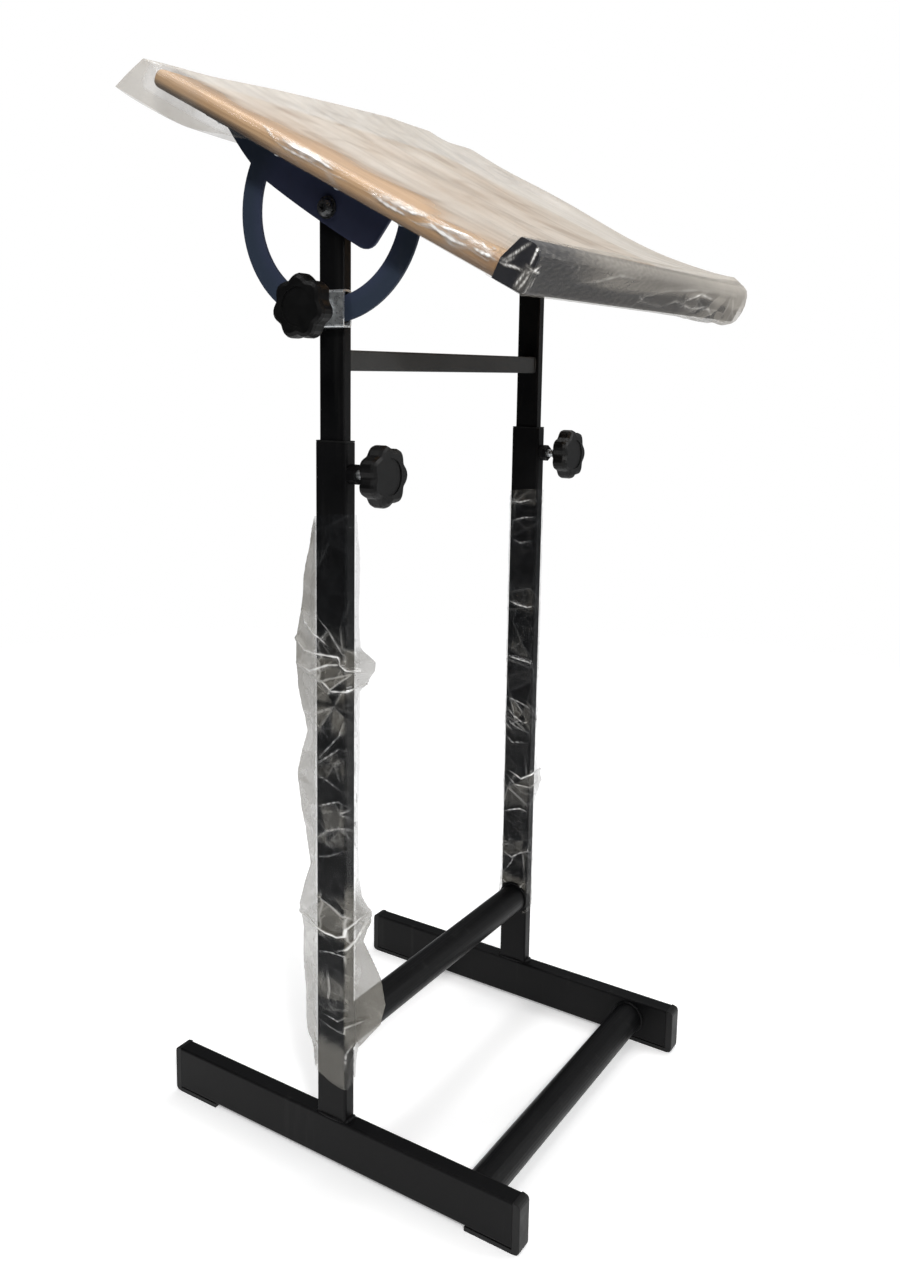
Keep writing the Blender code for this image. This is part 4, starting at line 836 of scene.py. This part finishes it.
def board_haze_and_reflection(points):
    """How milky the film is, partly its own haze and partly painted reflection: clear on the left edge and in
    a patch beside it, hazy and streaked elsewhere.
    """
    x, s, h = points.T.copy()
    border = np.interp(
        s, (-205.0, -190.0, -160.0, -140.0, -115.0, -80.0, -50.0, -20.0, 20.0, 60.0, 110.0, 217.0),
        (-206.0, -228.0, -252.0, -248.0, -222.0, -192.0, -206.0, -214.0, -214.0, -228.0, -248.0, -252.0),
    )
    hazy_and_reflecting = ease(-20.0, 50.0, x - border - 6.0 * ripples(x, s, 50.0, seed=31, count=14))
    grain = np.clip(ripples(x, s, 20.0, seed=33, count=14, along=8.0), -1.5, 1.5)
    patch = np.clip(ripples(x, s, 95.0, seed=34, count=10, along=2.0), -1.5, 1.5)
    hanging = ease(BOARD_TOP + 4.0, BOARD_BOTTOM, h) * ease(150.0, 200.0, s) * ease(-235.0, -150.0, x)
    milk_and_reflection = 0.07 + (0.58 + 0.035 * (1.0 - hanging) * grain + 0.05 * patch) * hazy_and_reflecting
    # milky where it is loose, but not before the wood's left edge
    loose = ease(1.5, 9.0, off_the_wood(points))
    before_wood = ease(-250.0, -257.0, x) * ease(20.0, 25.0, h)
    before_wood *= ease(BOARD_REAR + 4.0, BOARD_REAR - 4.0, s)
    milk_and_reflection = np.maximum(milk_and_reflection, 0.50 * loose * (1.0 - before_wood))
    # thin streaks that stray and break up
    strayed = np.stack([
        x + 11.0 * ripples(x, s, 46.0, seed=36, count=14, along=1.6),
        s + 13.0 * ripples(x, s, 58.0, seed=37, count=14),
    ], axis=1)
    broken = ease(-1.1, 1.1, ripples(x, s, 34.0, seed=38, count=14, along=3.0))
    for line, wide, thinner in THIN_STREAKS:
        apart, along = line_distance(strayed, line)
        thinned = thinner * np.sin(math.pi * np.clip(along, 0.06, 0.94)) ** 0.5 * (0.35 + 0.65 * broken)
        milk_and_reflection *= 1.0 - thinned * np.exp(-(apart / wide) ** 2) * ease(BOARD_TOP - 2.0, BOARD_TOP, h)
    return milk_and_reflection * (1.0 - 0.42 * hanging)


def ledge_haze(points, dents):
    """How milky the film is on the ledge, and how milky where it is gathered round the ledge's left end."""
    x, s, h = points.T.copy()
    # a lighter upper band, darker at the left, clearer in the slack dents and milky at the right end
    upper = ease(42.0, 50.0, h - 3.0 * np.sin(x / 60.0))
    milk_and_reflection = 0.11 + 0.06 * ease(-230.0, 40.0, x) + 0.26 * upper * ease(-215.0, -110.0, x)
    milk_and_reflection += 0.27 * ease(30.0, 220.0, x) - 0.20 * dents * ease(225.0, 195.0, x)
    flecks = np.clip(ripples(x, 4.0 * h, 12.0, seed=35, count=14), -1.0, 1.0)
    milk_and_reflection += 0.04 * flecks * ease(60.0, -60.0, x)
    milk_and_reflection += 0.10 * ease(56.0, 64.0, h) * ease(-240.0, -170.0, x) + 0.10 * ease(31.0, 27.0, h)
    gathered = 0.03 + 0.12 * ease(-237.0, -244.0, s) * ease(52.0, 46.0, h)
    return milk_and_reflection, gathered


def board_film(finish):
    """The film drawn over board and ledge: a net with four skirts, sealed at its corners."""
    net = board_film_net()
    live = ~np.isnan(net[..., 0])
    points = net[live]
    faces = net_faces(live)
    outward = film_normals(points, faces)
    at_rest = points.copy()
    x, s, h = points.T.copy()
    # crinkles along the tight left edge, soft dents where the film is slack on the ledge or hangs free
    net_x, net_s = with_skirts(FILM_XS, SIDE_SKIRT), with_skirts(FILM_SS, END_SKIRT)
    small, _, glint = (field[live] for field in crushed(net_x, net_s, 7.0, seed=21, long=7.0, thick=0.9))
    broad, shade, fold_shine = (field[live] for field in crushed(net_x, net_s, 30.0, seed=22, long=0.45))
    edge = np.exp(-((x + HALF_WIDTH) / 9.0) ** 2) * ease(26.0, 34.0, h) * ease(-217.0, -205.0, s)
    tight = edge * np.maximum(ease(85.0, 40.0, s) * ease(-60.0, -30.0, s), ease(-60.0, -80.0, s))
    ledge = ease(-216.0, -228.0, s)
    slack = ledge * ease(20.0, 160.0, x) * ease(62.0, 48.0, h)
    hung = ease(44.0, 30.0, h) * ease(60.0, 120.0, s)
    raised = tight * small + slack * 2.6 * broad + hung * 1.5 * (broad - 0.4)
    points += outward * raised[:, None]
    # painted glints on the crinkles of the tight edge and on the dents where the film is slack
    painted_glint = np.maximum(0.45 * tight * glint, slack * 0.25 * fold_shine)
    for folds, thick in FOLD_SETS:
        for line, rise, bright in folds:
            apart, along = line_distance(points, line)
            lay_fold(points, outward, painted_glint, apart, along, rise, thick, bright)
    clear_of_board(points)
    clear_of_ledge(points)
    over_ledge, gathered = ledge_haze(at_rest, slack * ease(0.55, 0.75, shade))
    milk_and_reflection = np.where(ledge > 0.5, over_ledge, board_haze_and_reflection(at_rest))
    milk_and_reflection = np.where((x < -259.0) & (s < -214.0), gathered, milk_and_reflection)
    lean, rise = math.cos(BOARD_TILT), math.sin(BOARD_TILT)
    world = np.stack([
        points[:, 0] / 1000.0,
        PIVOT.y + (points[:, 1] * lean - points[:, 2] * rise) / 1000.0,
        PIVOT.z + (points[:, 1] * rise + points[:, 2] * lean) / 1000.0,
    ], axis=1)
    film = film_object("board_film_drape", world, faces, painted_glint, milk_and_reflection, finish)
    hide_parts("board_film")
    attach(film, "reading_board")


# Sleeves on the posts, in each post's own frame: x and y from its middle, z from the floor, in millimetres

# Points round a sleeve, and the reach from which a fin is at its thinnest
AROUND = 160
FULL_FIN = 14.0

# How far the near sleeve's fins reach past the post: points of height and reach
NEAR_REAR_FIN = (
    (99, 4), (121, 9), (133, 18), (150, 21), (258, 22), (282, 29), (310, 20), (333, 11),
    (392, 28), (430, 31), (476, 17), (520, 27), (575, 30), (640, 21), (690, 8), (703, 1),
)
NEAR_FRONT_FIN = (
    (99, 1), (125, 3), (141, 8), (161, 24), (180, 39), (203, 44), (228, 37), (263, 15), (297, 27),
    (311, 14), (329, 7), (482, 9), (527, 8), (551, 27), (561, 28), (573, 8), (671, 7), (703, 0.5),
)

# Its strongest folds: points (x, y, z), how high each stands and how bright its painted glint is
NEAR_FOLDS = (
    (((-4, 42, 603), (-4, 37, 591), (-9, 15, 581), (-9, 0, 573)), 2.5, 0.7),
    (((-4, 48, 573), (-4, 35, 563), (-9, 15, 563), (-9, -13, 564), (1, -20, 551), (0, -33, 549)), 3.0, 0.8),
    (((-4, 45, 548), (-4, 27, 543), (-9, 0, 554), (-9, -19, 557)), 2.5, 0.75),
    (((-9, 16, 605), (-9, 0, 587), (-9, -19, 566), (1, -20, 553)), 1.5, 0.35),
    (((-9, 18, 540), (-9, 6, 535), (-9, -4, 527), (-2, -20, 529), (0, -40, 540)), 2.5, 0.6),
    (((-9, -19, 498), (-9, -13, 483), (-9, 16, 451)), 2.0, 0.35),
    (((6, -20, 468), (-9, -13, 469), (-9, 16, 447)), 2.0, 0.35),
    (((-9, 18, 438), (-9, 0, 433), (-9, -19, 426)), 2.5, 0.3),
    (((-9, 16, 402), (-9, -13, 414), (6, -20, 411)), 2.0, 0.4),
    (((-9, 19, 347), (-9, 0, 352), (-9, -19, 362)), 2.0, 0.3),
    ((
        (-4, 45, 275), (-4, 31, 274), (-9, 16, 270), (-9, -9, 265), (-9, -19, 269), (9, -20, 277),
        (0, -42, 298),
    ), 3.0, 0.85),
    (((-9, -9, 250), (-5, -20, 254), (0, -29, 266), (0, -42, 289)), 2.5, 0.8),
    (((-9, 16, 242), (-9, 0, 246), (-9, -19, 247), (2, -20, 236)), 2.0, 0.45),
    (((-9, 7, 174), (-9, -13, 173), (2, -20, 179)), 2.5, 0.4),
    (((-9, 19, 167), (-9, 1, 162), (-9, -19, 160), (7, -20, 167), (0, -45, 182)), 2.0, 0.3),
    (((-9, -19, 118), (-1, -20, 137), (0, -27, 150)), 2.0, 0.3),
)

# The same for the far sleeve
FAR_REAR_FIN = ((132, 5), (150, 3), (200, 0.3), (696, 0.1))
FAR_FRONT_FIN = ((132, 0.3), (285, 1), (300, 9), (318, 12), (345, 1), (430, 0.4), (696, 0.1))
FAR_FOLDS = (
    (((-9, 16, 683), (-9, 5, 681), (-9, -13, 686)), 2.0, 0.5),
    (((-9, 15, 657), (-9, -2, 662), (-9, -19, 664)), 2.5, 0.4),
    (((-9, 15, 634), (-9, 2, 629), (-9, -14, 633)), 2.0, 0.35),
    (((-9, 16, 552), (-9, 4, 548), (-9, -11, 546), (-1, -20, 549)), 2.5, 0.6),
    (((-9, 17, 479), (-9, -1, 476), (-9, -16, 474), (3, -20, 471)), 2.5, 0.6),
    (((-9, 18, 424), (-9, 3, 420), (-9, -15, 415), (4, -20, 410)), 2.0, 0.4),
    (((-9, 16, 411), (-9, 5, 399), (-9, -10, 392), (-1, -20, 395)), 2.0, 0.4),
    (((-9, 16, 395), (-9, 2, 385), (-9, -12, 380)), 2.0, 0.35),
    (((-9, 12, 386), (-9, -4, 394), (-9, -17, 391)), 2.0, 0.3),
    (((-9, 17, 372), (-9, 6, 362), (-9, -12, 366)), 2.0, 0.35),
    (((-9, 9, 323), (-9, -9, 315), (3, -20, 322), (0, -35, 335)), 3.0, 0.8),
    (((-9, 15, 318), (-9, 0, 305), (-7, -20, 305), (0, -31, 315)), 2.0, 0.4),
    (((-9, 17, 265), (-9, -7, 273), (6, -20, 271)), 2.0, 0.55),
    (((-9, 15, 208), (-9, 3, 203), (-9, -12, 213), (0, -25, 218)), 2.5, 0.5),
    (((-9, 13, 181), (-9, 3, 195), (-9, -3, 210)), 2.0, 0.4),
    (((-9, 16, 168), (-9, 4, 158), (-9, -10, 163)), 2.0, 0.35),
    (((-9, -2, 150), (-9, -10, 162), (-9, -18, 172)), 2.0, 0.3),
)

# How milky each sleeve is where it is clear, then its milky bands: middle, half height and haze
NEAR_HAZE = (0.055, (
    (119, 26, 0.40), (196, 22, 0.28), (284, 21, 0.42), (384, 22, 0.28), (448, 12, 0.24),
    (497, 14, 0.34), (540, 24, 0.40), (575, 16, 0.18),
))
FAR_HAZE = (0.09, (
    (148, 28, 0.40), (212, 20, 0.22), (300, 24, 0.25), (400, 20, 0.25), (480, 20, 0.17),
    (560, 18, 0.17), (694, 18, 0.18),
))


def clear_of_post(points):
    """Pushes sleeve points out of the post."""
    x, y = points[:, 0], points[:, 1]
    sides = np.stack([np.abs(x) - POST_HALF_WIDTH, np.abs(y) - POST_HALF_DEPTH])
    across = sides[0] > sides[1]
    move = np.maximum(SKIN - np.max(sides, axis=0), 0.0)
    points[:, 0] += np.where(across, np.sign(x) * move, 0.0)
    points[:, 1] += np.where(across, 0.0, np.sign(y) * move)


def sleeve_rows(bottom, top, folds):
    """Row heights of a sleeve, closer together where it has a bright fold."""
    coarse, fine, least_bright, margin = 1.5, 0.9, 0.38, 4.0
    spans = []
    for path, _, bright in folds:
        if bright > least_bright:
            heights = [point[2] for point in path]
            spans.append((min(heights) - margin, max(heights) + margin))
    rows, z = [], bottom
    while z < top - 0.4:
        rows.append(z)
        z += fine if any(low < z < high for low, high in spans) else coarse
    return np.array(rows + [top])


def reach_at(height, outline):
    """How far a fin reaches past the post at each height, from its points of height and reach."""
    heights, reaches = zip(*outline)
    return np.interp(height, heights, reaches) + SKIN


def haze_at(height, clear, bands):
    """How milky a sleeve is at each height: clear but for bands of (middle, half height, haze)."""
    milky = np.full_like(height, clear)
    for middle, half, haze in bands:
        share = ease(half + 9.0, half - 9.0, np.abs(height - middle))
        milky = np.maximum(milky, clear + (haze - clear) * share)
    return milky


def other_face(folds, drop):
    """Like folds, fainter and lower down, on the post's other wide face."""
    turned = []
    for path, rise, bright in folds:
        on_post = tuple((-x, -y, z - drop) for x, y, z in path if abs(y) <= POST_HALF_DEPTH + 1.0)
        turned.append((on_post, rise, min(0.36, 0.6 * bright)))
    return tuple(turned)


def fin_points(sway, reach, way):
    """Four points round a fin in plan, thinner towards its tip; way is 1 behind the post and -1 before it."""
    face = POST_HALF_WIDTH + SKIN
    full = min(1.0, reach / FULL_FIN)
    middle = way * full * sway
    neck, tip = (face - full * (face - thinnest) for thinnest in (2.4, 0.6))
    half_way, end = way * (POST_HALF_DEPTH + 0.5 * reach), way * (POST_HALF_DEPTH + reach)
    return [
        (middle - way * neck, half_way), (middle - way * tip, end),
        (middle + way * tip, end), (middle + way * neck, half_way),
    ]


def sleeve_net(height, rear_reach, front_reach, seed):
    """A sleeve's points as a grid, row by row upwards and once round the post, where its ends overlap."""
    share = np.linspace(0.0, 1.0, AROUND)
    net = np.zeros((len(height), AROUND, 3))
    face, edge = POST_HALF_WIDTH + SKIN, POST_HALF_DEPTH + 0.3
    for row, (z, rear, front) in enumerate(zip(height, rear_reach, front_reach)):
        sway = 1.8 * math.sin(z / 43.0 + seed) + 1.2 * math.sin(z / 17.0 + 2.0 * seed)
        line = [
            (face, 3.0), (face, -edge), *fin_points(sway, front, -1.0), (-face, -edge),
            (-face, edge), *fin_points(sway, rear, 1.0), (face + 0.5, edge), (face + 0.6, -3.0),
        ]
        net[row, :, :2] = path_points(line, share)
        net[row, :, 2] = z
    # slanted and pointed ends
    lift = ((height - height[0]) / (height[-1] - height[0]))[:, None]
    swing = np.cos(2.0 * math.pi * (share - 0.36))[None, :]
    net[:, :, 2] += lift ** 10 * 3.0 * swing - (1.0 - lift) ** 14 * (9.0 * np.clip(swing, -0.2, 1.0) - 4.0)
    return net


def fin_haze(points, height, rear_reach, front_reach, shade):
    """How milky a sleeve's fins are, where they are wide enough to be seen as such."""
    behind = points[:, 1] > 0.0
    wide_enough = np.where(behind, ease(2.0, 7.0, rear_reach), ease(4.0, 18.0, front_reach))
    fin = ease(-1.5, 0.5, np.abs(points[:, 1]) - POST_HALF_DEPTH) * wide_enough
    rear_haze = 0.40 + 0.21 * ease(180.0, 640.0, height)
    front_haze = 0.46 - 0.15 * ease(260.0, 520.0, height)
    return np.where(behind, rear_haze, front_haze) * fin * (1.0 + 0.3 * (shade - 0.5))


def post_sleeve(hand, side, bottom, top, fins, folds, haze, slack, seed, finish):
    """A film wrapped round a post: it clings to the wide faces, stands out as loose fins and is creased."""
    height = sleeve_rows(bottom, top, folds)
    rear_reach, front_reach = (reach_at(height, fin) for fin in fins)
    net = sleeve_net(height, rear_reach, front_reach, seed)
    index = np.arange(len(height) * AROUND).reshape(len(height), AROUND)
    faces = np.stack([index[:-1, :-1], index[1:, :-1], index[1:, 1:], index[:-1, 1:]], axis=-1).reshape(-1, 4)
    points = net.reshape(-1, 3).copy()
    outward = film_normals(points, faces)
    at_rest = points.copy()
    # broad facets with small ones among them, flatter at the ends and towards the bottom
    girth = np.linalg.norm(np.diff(net, axis=1), axis=2).sum(axis=1).mean()
    round_post = np.linspace(0.0, 1.0, AROUND) * girth
    broad, shade, fold_shine = (field.reshape(-1) for field in crushed(round_post, height, 24.0, seed))
    small, tone, line = (field.reshape(-1) for field in crushed(round_post, height, 11.0, seed + 1))
    z = at_rest[:, 2].copy()
    past = np.abs(at_rest[:, 1]) - POST_HALF_DEPTH
    on_fin, narrow = ease(1.5, 8.0, past), ease(-1.5, 0.0, past)
    calm = ease(bottom + 52.0, bottom + 34.0, z)
    held = ease(0.0, 12.0, z - bottom) * ease(0.0, 9.0, top - z) * (1.0 - 0.6 * calm)
    raised = slack * (1.0 - 0.8 * narrow) * (3.6 * (broad - 0.3) + 1.2 * small)
    raised = np.where(on_fin > 0.5, 1.4 * (broad - 0.5), raised)
    points += outward * (held * raised)[:, None]
    milky = haze_at(z, *haze)
    # painted glints on the facets' folds, fainter on the fins and near the bottom
    painted_glint = np.clip(2.0 * milky, 0.12, 0.45) * np.maximum(fold_shine, 0.4 * line)
    painted_glint *= 1.0 - 0.8 * on_fin
    painted_glint *= 1.0 - 0.75 * calm
    # on its own face and the fins a fold is placed as seen from that side
    for path, rise, bright in folds:
        towards = math.copysign(1.0, sum(point[0] for point in path)) * outward[:, 0]
        side_on = (towards > 0.5) | ((on_fin > 0.3) & (towards > -0.3))
        flat_apart, flat_along = line_distance(at_rest[:, 1:], [point[1:] for point in path])
        apart, along = line_distance(at_rest, path)
        apart, along = np.where(side_on, flat_apart, apart), np.where(side_on, flat_along, along)
        lay_fold(points, outward, painted_glint, apart, along, rise, 1.0, bright)
    clear_of_post(points)
    # some facets are milkier than others: partly the film's own haze, partly painted reflection on facets
    # turned to the light
    milk_and_reflection = milky * (0.25 + 0.6 * ease(0.35, 0.55, shade) + 0.3 * ease(0.6, 0.75, tone))
    milk_and_reflection += calm * (0.9 * milky - milk_and_reflection)
    reaches = (np.repeat(reach, AROUND) for reach in (rear_reach, front_reach))
    milk_and_reflection = np.maximum(milk_and_reflection * (1.0 - 0.5 * narrow), fin_haze(points, z, *reaches, shade))
    # a slit on the inner face lets the stretcher through
    middle = points[faces].mean(axis=1)
    inner = middle[:, 0] * -side > 0.0
    slit = np.hypot(middle[:, 1], middle[:, 2] - STRETCHER_HEIGHT) < STRETCHER_RADIUS + 4.5
    faces = faces[~(inner & slit)]
    world = points / 1000.0 + np.array((side * POST_X, STAND_SHIFT, 0.0))
    film = film_object(f"post_sleeve_{hand}", world, faces, painted_glint, milk_and_reflection, finish)
    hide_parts(f"post_film_{hand}")
    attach(film, "stand_base")


# Weld beads and screw threads, in metres

def uneven(bead, depth):
    """Gives a bead the uneven ripples of a hand weld."""
    clouds = bpy.data.textures.new("weld_ripple", "CLOUDS")
    clouds.noise_scale = 0.0035
    ripple = bead.modifiers.new("ripple", "DISPLACE")
    ripple.texture = clouds
    ripple.texture_coords = "LOCAL"
    ripple.strength = depth
    bpy.ops.object.modifier_apply(modifier=ripple.name)
    bpy.ops.object.shade_smooth()


def weld_ring(radius, thick, finish):
    """A weld bead round the end of a stretcher, square to x."""
    bpy.ops.object.select_all(action="DESELECT")
    bpy.ops.mesh.primitive_torus_add(
        major_radius=radius, minor_radius=thick, major_segments=88, minor_segments=12,
        rotation=(0.0, math.pi / 2.0, 0.0),
    )
    bead = bpy.context.object
    bpy.ops.object.transform_apply(location=True, rotation=True, scale=True)
    uneven(bead, 0.0011)
    bead.data.materials.append(finish)
    return bead


def weld_line(half_sizes, finish):
    """A short weld bead in a corner, thickest in the middle."""
    bpy.ops.object.select_all(action="DESELECT")
    bpy.ops.mesh.primitive_uv_sphere_add(segments=28, ring_count=16, radius=1.0)
    bead = bpy.context.object
    bead.scale = half_sizes
    bpy.ops.object.transform_apply(location=True, rotation=True, scale=True)
    uneven(bead, 0.0009)
    bead.data.materials.append(finish)
    return bead


def set_down(pattern, name, place, body):
    """Sets a copy of a modelled piece, with its own mesh, down at its place on a body."""
    piece = bpy.data.objects.new(name, pattern.data.copy())
    piece.data.name = name
    piece.data.transform(Matrix.Translation(place))
    bpy.context.scene.collection.objects.link(piece)
    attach(piece, body)


def weld_beads(black, grey):
    """The beads at the stretchers' ends, at the feet of the posts and at the crossbar's ends."""
    ring = weld_ring(0.0186, 0.0020, black)
    front = weld_line((0.0085, 0.0036, 0.0036), black)
    flank = weld_line((0.0015, 0.0180, 0.0018), black)
    upright = weld_line((0.0014, 0.0014, 0.0100), grey)
    # where the rings lie on posts and feet, and the beads on the feet's tops and beside the crossbar
    post_ring_x, rear_ring_z = 0.1914, STRETCHER_HEIGHT / 1000.0
    foot_ring_x, front_ring_y, front_ring_z = 0.1894, STAND_SHIFT - 0.171, 0.030
    post_bead_x, post_bead_y, foot_top = 0.0082, 0.0195, 0.0555
    bar_bead_x, bar_bead_y, bar_z = 0.1936, 0.0102, 0.854
    for side, hand in ((-1.0, "left"), (1.0, "right")):
        post_x = side * POST_X
        place = (side * post_ring_x, STAND_SHIFT, rear_ring_z)
        set_down(ring, f"rear_stretcher_weld_{hand}", place, "stand_base")
        place = (side * foot_ring_x, front_ring_y, front_ring_z)
        set_down(ring, f"front_stretcher_weld_{hand}", place, "stand_base")
        for end, where in ((-1.0, "front"), (1.0, "rear")):
            place = (post_x, STAND_SHIFT + end * post_bead_y, foot_top)
            set_down(front, f"post_weld_{where}_{hand}", place, "stand_base")
            place = (side * bar_bead_x, STAND_SHIFT + end * bar_bead_y, bar_z)
            set_down(upright, f"crossbar_weld_{where}_{hand}", place, "sliding_frame")
            flank_side = "outer" if end * side > 0 else "inner"
            place = (post_x + end * post_bead_x, STAND_SHIFT, foot_top)
            set_down(flank, f"post_weld_{flank_side}_{hand}", place, "stand_base")
    for pattern in (ring, front, flank, upright):
        bpy.data.objects.remove(pattern)


def thread(node, axis, body, finish):
    """A screw with a real thread for a plain one: a toothed line turned once while it rises one pitch."""
    pitch, crest, root = 0.00125, 0.00465, 0.00395
    turn_steps, same_place = 28, 0.00001
    corners = np.array([tuple(corner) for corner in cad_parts[node].bound_box])
    low, high = corners.min(axis=0), corners.max(axis=0)
    teeth = int(float((high - low)[axis]) / pitch) - 1
    bpy.ops.object.select_all(action="DESELECT")
    bpy.ops.mesh.primitive_plane_add(size=0.001)
    screw = bpy.context.object
    screw.name = f"{node}_thread"
    bpy.ops.object.mode_set(mode="EDIT")
    bpy.ops.mesh.select_all(action="SELECT")
    bpy.ops.mesh.merge(type="CENTER")
    bpy.ops.transform.translate(value=(root, 0.0, -0.5 * (teeth + 1) * pitch))
    for _ in range(teeth):
        for out in (crest - root, root - crest):
            bpy.ops.mesh.extrude_region_move(TRANSFORM_OT_translate={"value": (out, 0.0, 0.5 * pitch)})
    bpy.ops.object.mode_set(mode="OBJECT")
    turn = screw.modifiers.new("turn", "SCREW")
    turn.axis = "Z"
    turn.screw_offset = pitch
    turn.steps = turn_steps
    turn.render_steps = turn_steps
    turn.use_merge_vertices = True
    turn.merge_threshold = same_place
    bpy.ops.object.modifier_apply(modifier=turn.name)
    bpy.ops.object.mode_set(mode="EDIT")
    bpy.ops.mesh.select_all(action="SELECT")
    bpy.ops.mesh.remove_doubles(threshold=same_place)
    bpy.ops.mesh.fill_holes(sides=0)
    bpy.ops.mesh.normals_make_consistent(inside=False)
    bpy.ops.object.mode_set(mode="OBJECT")
    screw.rotation_euler = (math.pi / 2.0, 0.0, 0.0) if axis == 1 else (0.0, math.pi / 2.0, 0.0)
    screw.location = Vector((low + high) / 2.0)
    bpy.ops.object.transform_apply(location=True, rotation=True, scale=True)
    screw.data.materials.append(finish)
    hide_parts(node)
    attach(screw, body)


# Making the stand

photo_camera()
studio_floor()
studio_room()
soft_light("panel_above", (0.5, 0.0, 3.0), (0.0, 0.0, 0.8), 2.0, 2.0, 46.0)
soft_light("panel_front", (1.6, -2.4, 1.6), (0.0, 0.0, 0.7), 1.4, 1.8, 23.0)
soft_light("panel_left", (-1.4, 0.7, 2.8), (0.0, 0.0, 1.0), 0.45, 1.4, 17.0)
soft_light("panel_near", (-1.7, -1.5, 1.9), (0.0, 0.0, 0.7), 0.25, 0.25, 36.0)

# colour of the painted glints on the films' creases
GLINT_WHITE = (0.97, 0.96, 0.94)
FINISHES = {
    "black_paint": powder_coat(
        "black_powder_coat", (0.0018, 0.0018, 0.0021), (0.0042, 0.0042, 0.0045), (0.03, 0.03, 0.029),
        0.34, 0.52, 0.13,
    ),
    "grey_paint": powder_coat(
        "grey_powder_coat", (0.030, 0.031, 0.031), (0.046, 0.047, 0.046), (0.07, 0.07, 0.068),
        0.42, 0.58, 0.20,
    ),
    # painted light: the navy's first two colours are lighter for the plates' shaded part near the pivot
    "navy_paint": powder_coat(
        "navy_powder_coat", (0.036, 0.043, 0.082), (0.046, 0.055, 0.102), (0.06, 0.066, 0.085),
        0.34, 0.5, 0.17, (0.029, 0.040, 0.062),
    ),
    "zinc": zinc_plate("zinc_plating", (0.34, 0.36, 0.38), (0.55, 0.57, 0.58), (0.72, 0.73, 0.73)),
    "dark_zinc": zinc_plate("dark_zinc", (0.06, 0.062, 0.064), (0.12, 0.123, 0.125), (0.22, 0.22, 0.22)),
    "cap_plastic": moulded_plastic("cap_plastic", (0.004, 0.004, 0.004), (0.008, 0.008, 0.008), 0.44, 0.60),
    "knob_plastic": moulded_plastic(
        "knob_plastic", (0.0022, 0.0022, 0.0023), (0.0045, 0.0045, 0.0045), 0.34, 0.48
    ),
    "board_wood": oiled_beech(),
    "ledge_wood": dark_lacquer(),
    "dowel_wood": dowel_beech(),
    # the board film's milky tint is partly painted reflection of the bright room
    "clear_film": clear_film("clear_film", (0.48, 0.455, 0.41), (0.565, 0.52, 0.455), GLINT_WHITE),
    "sleeve_film": clear_film("sleeve_film", (0.045, 0.052, 0.062), (0.285, 0.268, 0.230), GLINT_WHITE),
}

# Which finish each solid of the stand has, by the start of its name
FINISH_OF = (
    ("inner_post_plug", "cap_plastic"), ("inner_post_glide", "cap_plastic"), ("guide_bush", "cap_plastic"),
    ("foot_cap", "cap_plastic"), ("foot_bar", "black_paint"), ("outer_post", "black_paint"),
    ("inner_post", "black_paint"), ("rear_stretcher", "black_paint"), ("front_stretcher", "black_paint"),
    ("crossbar", "grey_paint"), ("tilt_plate", "navy_paint"), ("pivot_plate", "navy_paint"),
    ("height_knob", "knob_plastic"), ("tilt_knob", "knob_plastic"), ("book_board", "board_wood"),
    ("book_ledge", "ledge_wood"), ("ledge_dowel", "dowel_wood"), ("board_film", "clear_film"),
    ("post_film", "clear_film"), ("clamp_nut", "black_paint"),
    ("pivot_bolt", "dark_zinc"), ("pivot_washer", "dark_zinc"), ("", "zinc"),
)
for node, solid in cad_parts.items():
    finish = next(name for start, name in FINISH_OF if node.startswith(start))
    solid.data.materials.clear()
    solid.data.materials.append(FINISHES[finish])

board_film(FINISHES["clear_film"])
post_sleeve(
    "left", -1.0, 99.0, 703.0, (NEAR_REAR_FIN, NEAR_FRONT_FIN), NEAR_FOLDS + other_face(NEAR_FOLDS, 23.0),
    NEAR_HAZE, 1.0, 5, FINISHES["sleeve_film"],
)
post_sleeve(
    "right", 1.0, 132.0, 696.0, (FAR_REAR_FIN, FAR_FRONT_FIN), FAR_FOLDS + other_face(FAR_FOLDS, 17.0),
    FAR_HAZE, 0.45, 8, FINISHES["sleeve_film"],
)

weld_beads(FINISHES["black_paint"], FINISHES["grey_paint"])
thread("height_screw_left", 1, "left_height_clamp", FINISHES["zinc"])
thread("height_screw_right", 1, "right_height_clamp", FINISHES["zinc"])
thread("tilt_screw", 0, "tilt_clamp", FINISHES["zinc"])
